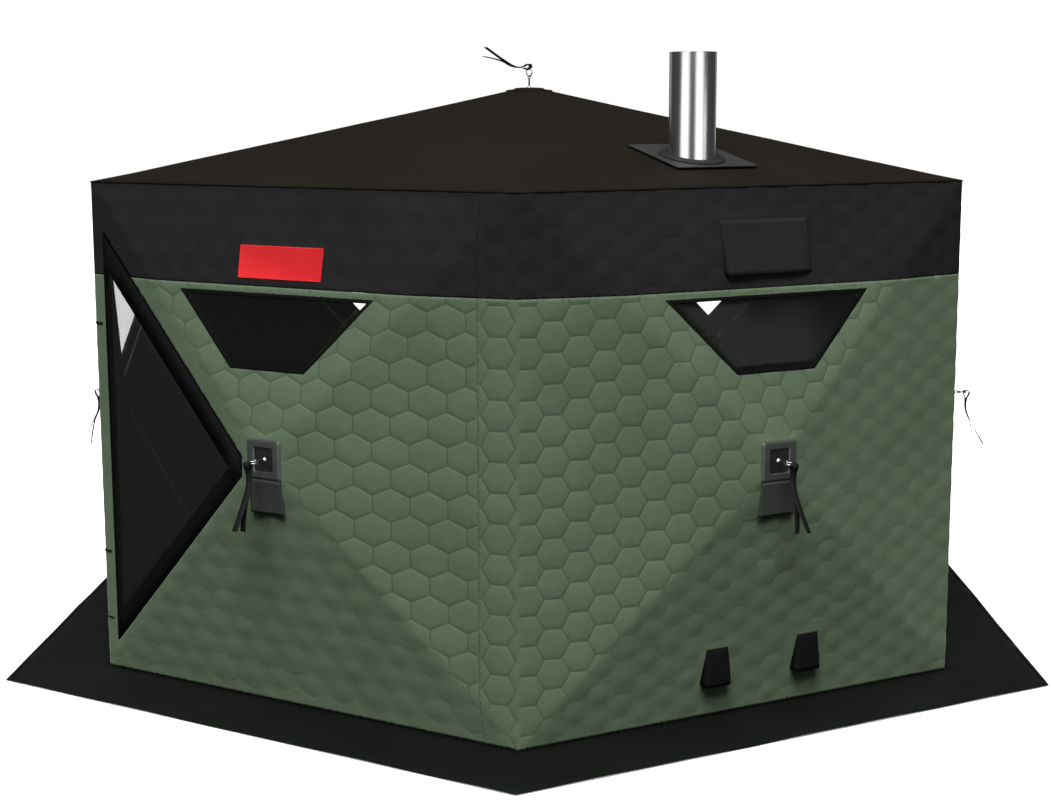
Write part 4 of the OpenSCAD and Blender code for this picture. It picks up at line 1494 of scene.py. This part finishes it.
# %% Stove pipe
PIPE_TOP, PIPE_INSIDE, PIPE_WALL = 2250 * MM, 250 * MM, 2 * MM
pipe_foot = PIPE_AT.z - PIPE_INSIDE
outer_r, inner_r = PIPE_D / 2, PIPE_D / 2 - PIPE_WALL
on_pipe = shift(PIPE_AT.x, PIPE_AT.y, 0)
pipe = new_piece("pipe_tube", lathe(
    [(inner_r, pipe_foot), (outer_r, pipe_foot), (outer_r, PIPE_TOP - 1.2 * MM),
     (outer_r - 0.4 * MM, PIPE_TOP - 0.2 * MM), (outer_r - 1 * MM, PIPE_TOP),
     (inner_r + 0.4 * MM, PIPE_TOP - 0.3 * MM), (inner_r, PIPE_TOP - 1.2 * MM)], sides=96),
    stainless, "stove_steel", at=on_pipe)
pipe.data.set_sharp_from_angle(angle=math.radians(40))
fix_normals(pipe)
SEAM_STRIP = [(-6 * MM, 0), (-5 * MM, 0.9 * MM), (5 * MM, 0.9 * MM), (6 * MM, 0)]
seam_rings = [[(x, outer_r + z - 0.3 * MM, h) for x, z in SEAM_STRIP]
              for h in (PIPE_AT.z + 20 * MM, PIPE_TOP - 2 * MM)]
closed_piece("pipe_lock_seam", stacked(seam_rings), stainless, "stove_steel", at=on_pipe,
             smooth=False)
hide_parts("stove_pipe")
print("pipe stands", round(PIPE_TOP - PIPE_AT.z, 3), "m over the roof")

# %% [markdown]
# ## Mat
# The silicone mat keeps the pipe's heat off the roof cloth. It lies on the slope, so the upright
# pipe cuts it in an ellipse. A darker band is moulded round its edge.

# %% Mat
MAT_W, MAT_T, MAT_X, MAT_Y = 335 * MM, 4 * MM, 15 * MM, 412 * MM
STRETCH = 1 / math.cos(ROOF_TILT)
EDGE_SECTION = [(-3 * MM, 0.3 * MM), (0.6 * MM, 0.3 * MM), (0.6 * MM, MAT_T),
                (-0.4 * MM, MAT_T + 0.7 * MM), (-3 * MM, MAT_T + 0.4 * MM)]
mat_outline = rounded_box(MAT_W, MAT_W, 12 * MM, steps=11)
mat_angles = [math.atan2(y + MAT_Y - PIPE_Y, x + MAT_X - PIPE_X) for x, y in mat_outline]


def ellipse(radius, x, y, angles):
    """The upright pipe's outline where it cuts the slope."""
    return [(x + radius * math.cos(a), y + radius * STRETCH * math.sin(a)) for a in angles]


def mat_ring(grow, z):
    scale = 1 + grow / MAT_W * 2
    return level([(x * scale + MAT_X, y * scale + MAT_Y) for x, y in mat_outline], z)


mat_hole = ellipse(outer_r + 1 * MM, PIPE_X, PIPE_Y, mat_angles)
mat_rings = [mat_ring(0, 0.15 * MM), mat_ring(0, MAT_T - 0.8 * MM), mat_ring(-0.8 * MM, MAT_T),
             mat_ring(-7 * MM, MAT_T + 0.1 * MM), mat_ring(-8 * MM, MAT_T - 0.5 * MM),
             level(mat_hole, MAT_T - 0.5 * MM), level(mat_hole, 0.15 * MM)]
mat = closed_piece("silicone_mat", stacked(mat_rings, closed=True), mat_silicone, "mat_rubber",
                   at=on_roof(FRONT_RIGHT))
mat.data.set_sharp_from_angle(angle=math.radians(25))
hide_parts("stove_mat")
closed_piece("mat_edge_band",
             swept_outline([(x + MAT_X, y + MAT_Y) for x, y in mat_outline], EDGE_SECTION),
             collar_silicone, "collar_rubber", at=on_roof(FRONT_RIGHT))
print("mat:", MAT_W, "m wide")

# %% [markdown]
# ## Collar
# The collar seals round the pipe: a flat flange, a step, and a low wall whose inner edge follows
# the upright pipe up through its thickness.

# %% Collar
COLLAR_D, COLLAR_FOOT = 236 * MM, MAT_T + 0.3 * MM
COLLAR_STEPS = [(1.0, 0), (1.0, 2.5), (0.97, 4), (0.55, 4.5), (0.45, 7.2), (0.40, 8), (0.05, 8),
                (0.0, 7), (0.0, 0)]          # share of the way outward, and height in mm
around_pipe = [2 * math.pi * i / 72 for i in range(72)]
outer_edge = [(PIPE_X + COLLAR_D / 2 * math.cos(a), PIPE_Y + COLLAR_D / 2 * math.sin(a))
              for a in around_pipe]
collar_rings = []
for share, height in COLLAR_STEPS:
    z = COLLAR_FOOT + height * MM
    inner_edge = ellipse(outer_r + 0.4 * MM, PIPE_X, PIPE_Y + z * math.tan(ROOF_TILT), around_pipe)
    collar_rings.append([(i[0] + (o[0] - i[0]) * share, i[1] + (o[1] - i[1]) * share, z)
                         for i, o in zip(inner_edge, outer_edge)])
collar = closed_piece("silicone_collar", stacked(collar_rings, closed=True), collar_silicone,
                      "collar_rubber", at=on_roof(FRONT_RIGHT))
collar.data.set_sharp_from_angle(angle=math.radians(35))
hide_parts("stove_collar")
print("collar:", COLLAR_D, "m across")

# %% [markdown]
# ## Poles and pole bodies
# The poles are straight drawn rods and their hub bodies are moulded, so the exact model's own
# meshes serve. They get their materials here, and a bevel softens the bodies' moulded edges.

# %% Finish the exact parts that stay
for node_name, finish in (("wall_poles", fibreglass), ("roof_poles", fibreglass),
                          ("hub_bodies", black_nylon), ("roof_hub_body", black_nylon)):
    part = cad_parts[node_name]
    part.data.materials.clear()
    part.data.materials.append(finish)
    if finish is black_nylon:
        round_edges(part, 2 * MM, segments=3)
print("finished the poles and pole bodies")

# %% [markdown]
# ## Fill light
# The studio is a white room. It gives a dim even fill that is weaker from below, a dimmer one
# still in reflections, and plain white to the camera.

# %% Fill light
FILL, FILL_IN_MIRRORS = 0.17, 0.055
world = bpy.data.worlds.new("studio")
bpy.context.scene.world = world
world.use_nodes = True
room = world.node_tree
room.nodes.clear()
look = add(room, "TexCoord").outputs["Generated"]
upward = add(room, "SeparateXYZ", Vector=look).outputs["Z"]
fill = spread(room, upward, From_Min=-0.5, From_Max=0.5, To_Min=0.0, To_Max=FILL)
rays = add(room, "LightPath")
in_mirror = add(room, "Mix", {"data_type": "FLOAT", 3: FILL_IN_MIRRORS},
                {0: rays.outputs["Is Glossy Ray"], 2: fill}).outputs[0]
strength = add(room, "Mix", {"data_type": "FLOAT", 3: 1.0},
               {0: rays.outputs["Is Camera Ray"], 2: in_mirror}).outputs[0]
white = add(room, "Background", {"Color": (1, 1, 1, 1)}, Strength=strength)
add(room, "OutputWorld", Surface=white.outputs[0])
bpy.context.scene.view_settings.view_transform = "Standard"
print("fill light", FILL, "and in reflections", FILL_IN_MIRRORS)

# %% [markdown]
# ## Suns
# One large soft key stands above the camera, a little to its left, and two weaker lamps stand
# behind the tent.

# %% Suns
SUN_WIDTH = math.radians(28)
SUNS = {"key": (1.45, -4, 52), "back_left": (0.6, -135, 36), "back_right": (0.6, 135, 36)}
for sun_name, (power, sun_turn, rise) in SUNS.items():
    sun_data = bpy.data.lights.new(sun_name, "SUN")
    sun_data.energy = math.pi * power
    sun_data.angle = SUN_WIDTH
    sun = in_scene(sun_name, sun_data)
    sun.visible_glossy = False
    sun.matrix_world = turn("Z", math.radians(sun_turn)) @ turn("X", math.radians(90 - rise))
print("suns:", ", ".join(SUNS))

# %% [markdown]
# ## Floor
# A pale floor that neither lights the tent nor shows in it.

# %% Floor


def flat_plane(name, half_x, half_y, finish):
    mesh = bpy.data.meshes.new(name)
    mesh.from_pydata([(-half_x, -half_y, 0), (half_x, -half_y, 0), (half_x, half_y, 0),
                      (-half_x, half_y, 0)], [], [(0, 1, 2, 3)])
    mesh.materials.append(finish)
    return in_scene(name, mesh)


FLOOR_HALF, FLOOR_DROP = 40, 0.0005
floor_white = material("pale_floor", Base_Color=linear("eeeeee"), Roughness=0.9,
                       Specular_IOR_Level=0.1, Emission_Strength=0.3,
                       Emission_Color=(1, 1, 1, 1))[0]
floor = flat_plane("floor", FLOOR_HALF, FLOOR_HALF, floor_white)
floor.location.z = -FLOOR_DROP
floor.visible_diffuse = False
floor.visible_glossy = False
print("floor:", 2 * FLOOR_HALF, "m wide")

# %% [markdown]
# ## Cards
# Bright cards stand beside the camera, behind the tent and over it, seen only in reflections.
# They draw the two bright stripes down the pipe, the shine along the top of the hub frames and
# the haze on the right front window.

# %% Cards
CARDS = {    # turn in degrees, distance, height, half width, half height, glow
    "left": (-34, 8, 2.5, 2.8, 3.5, 1.9), "right": (30, 8, 2.5, 2.4, 3.5, 1.9),
    "back_left": (-143, 12, 2.5, 1.8, 3.5, 0.5), "back_right": (143, 12, 2.5, 1.8, 3.5, 0.5),
    "window": (57, 9.6, 3.4, 0.9, 0.8, 1.9), "above": (0, 3, 7, 3.4, 3.5, 3.5)}
for card_name, (card_turn, distance, height, half, tall, glow) in CARDS.items():
    card_light = bpy.data.materials.new(f"card_light_{card_name}")
    card_light.use_nodes = True
    card_tree = card_light.node_tree
    card_tree.nodes.clear()
    card_glow = add(card_tree, "Emission", {"Strength": glow})
    add(card_tree, "OutputMaterial", Surface=card_glow.outputs[0])
    card = flat_plane(f"card_{card_name}", half, tall, card_light)
    upright = turn("X", math.radians(0 if card_name == "above" else 90))
    card.matrix_world = turn("Z", math.radians(card_turn)) @ shift(0, -distance, height) @ upright
    for ray in ("camera", "diffuse", "shadow", "transmission"):
        setattr(card, f"visible_{ray}", False)
print("cards:", ", ".join(CARDS))
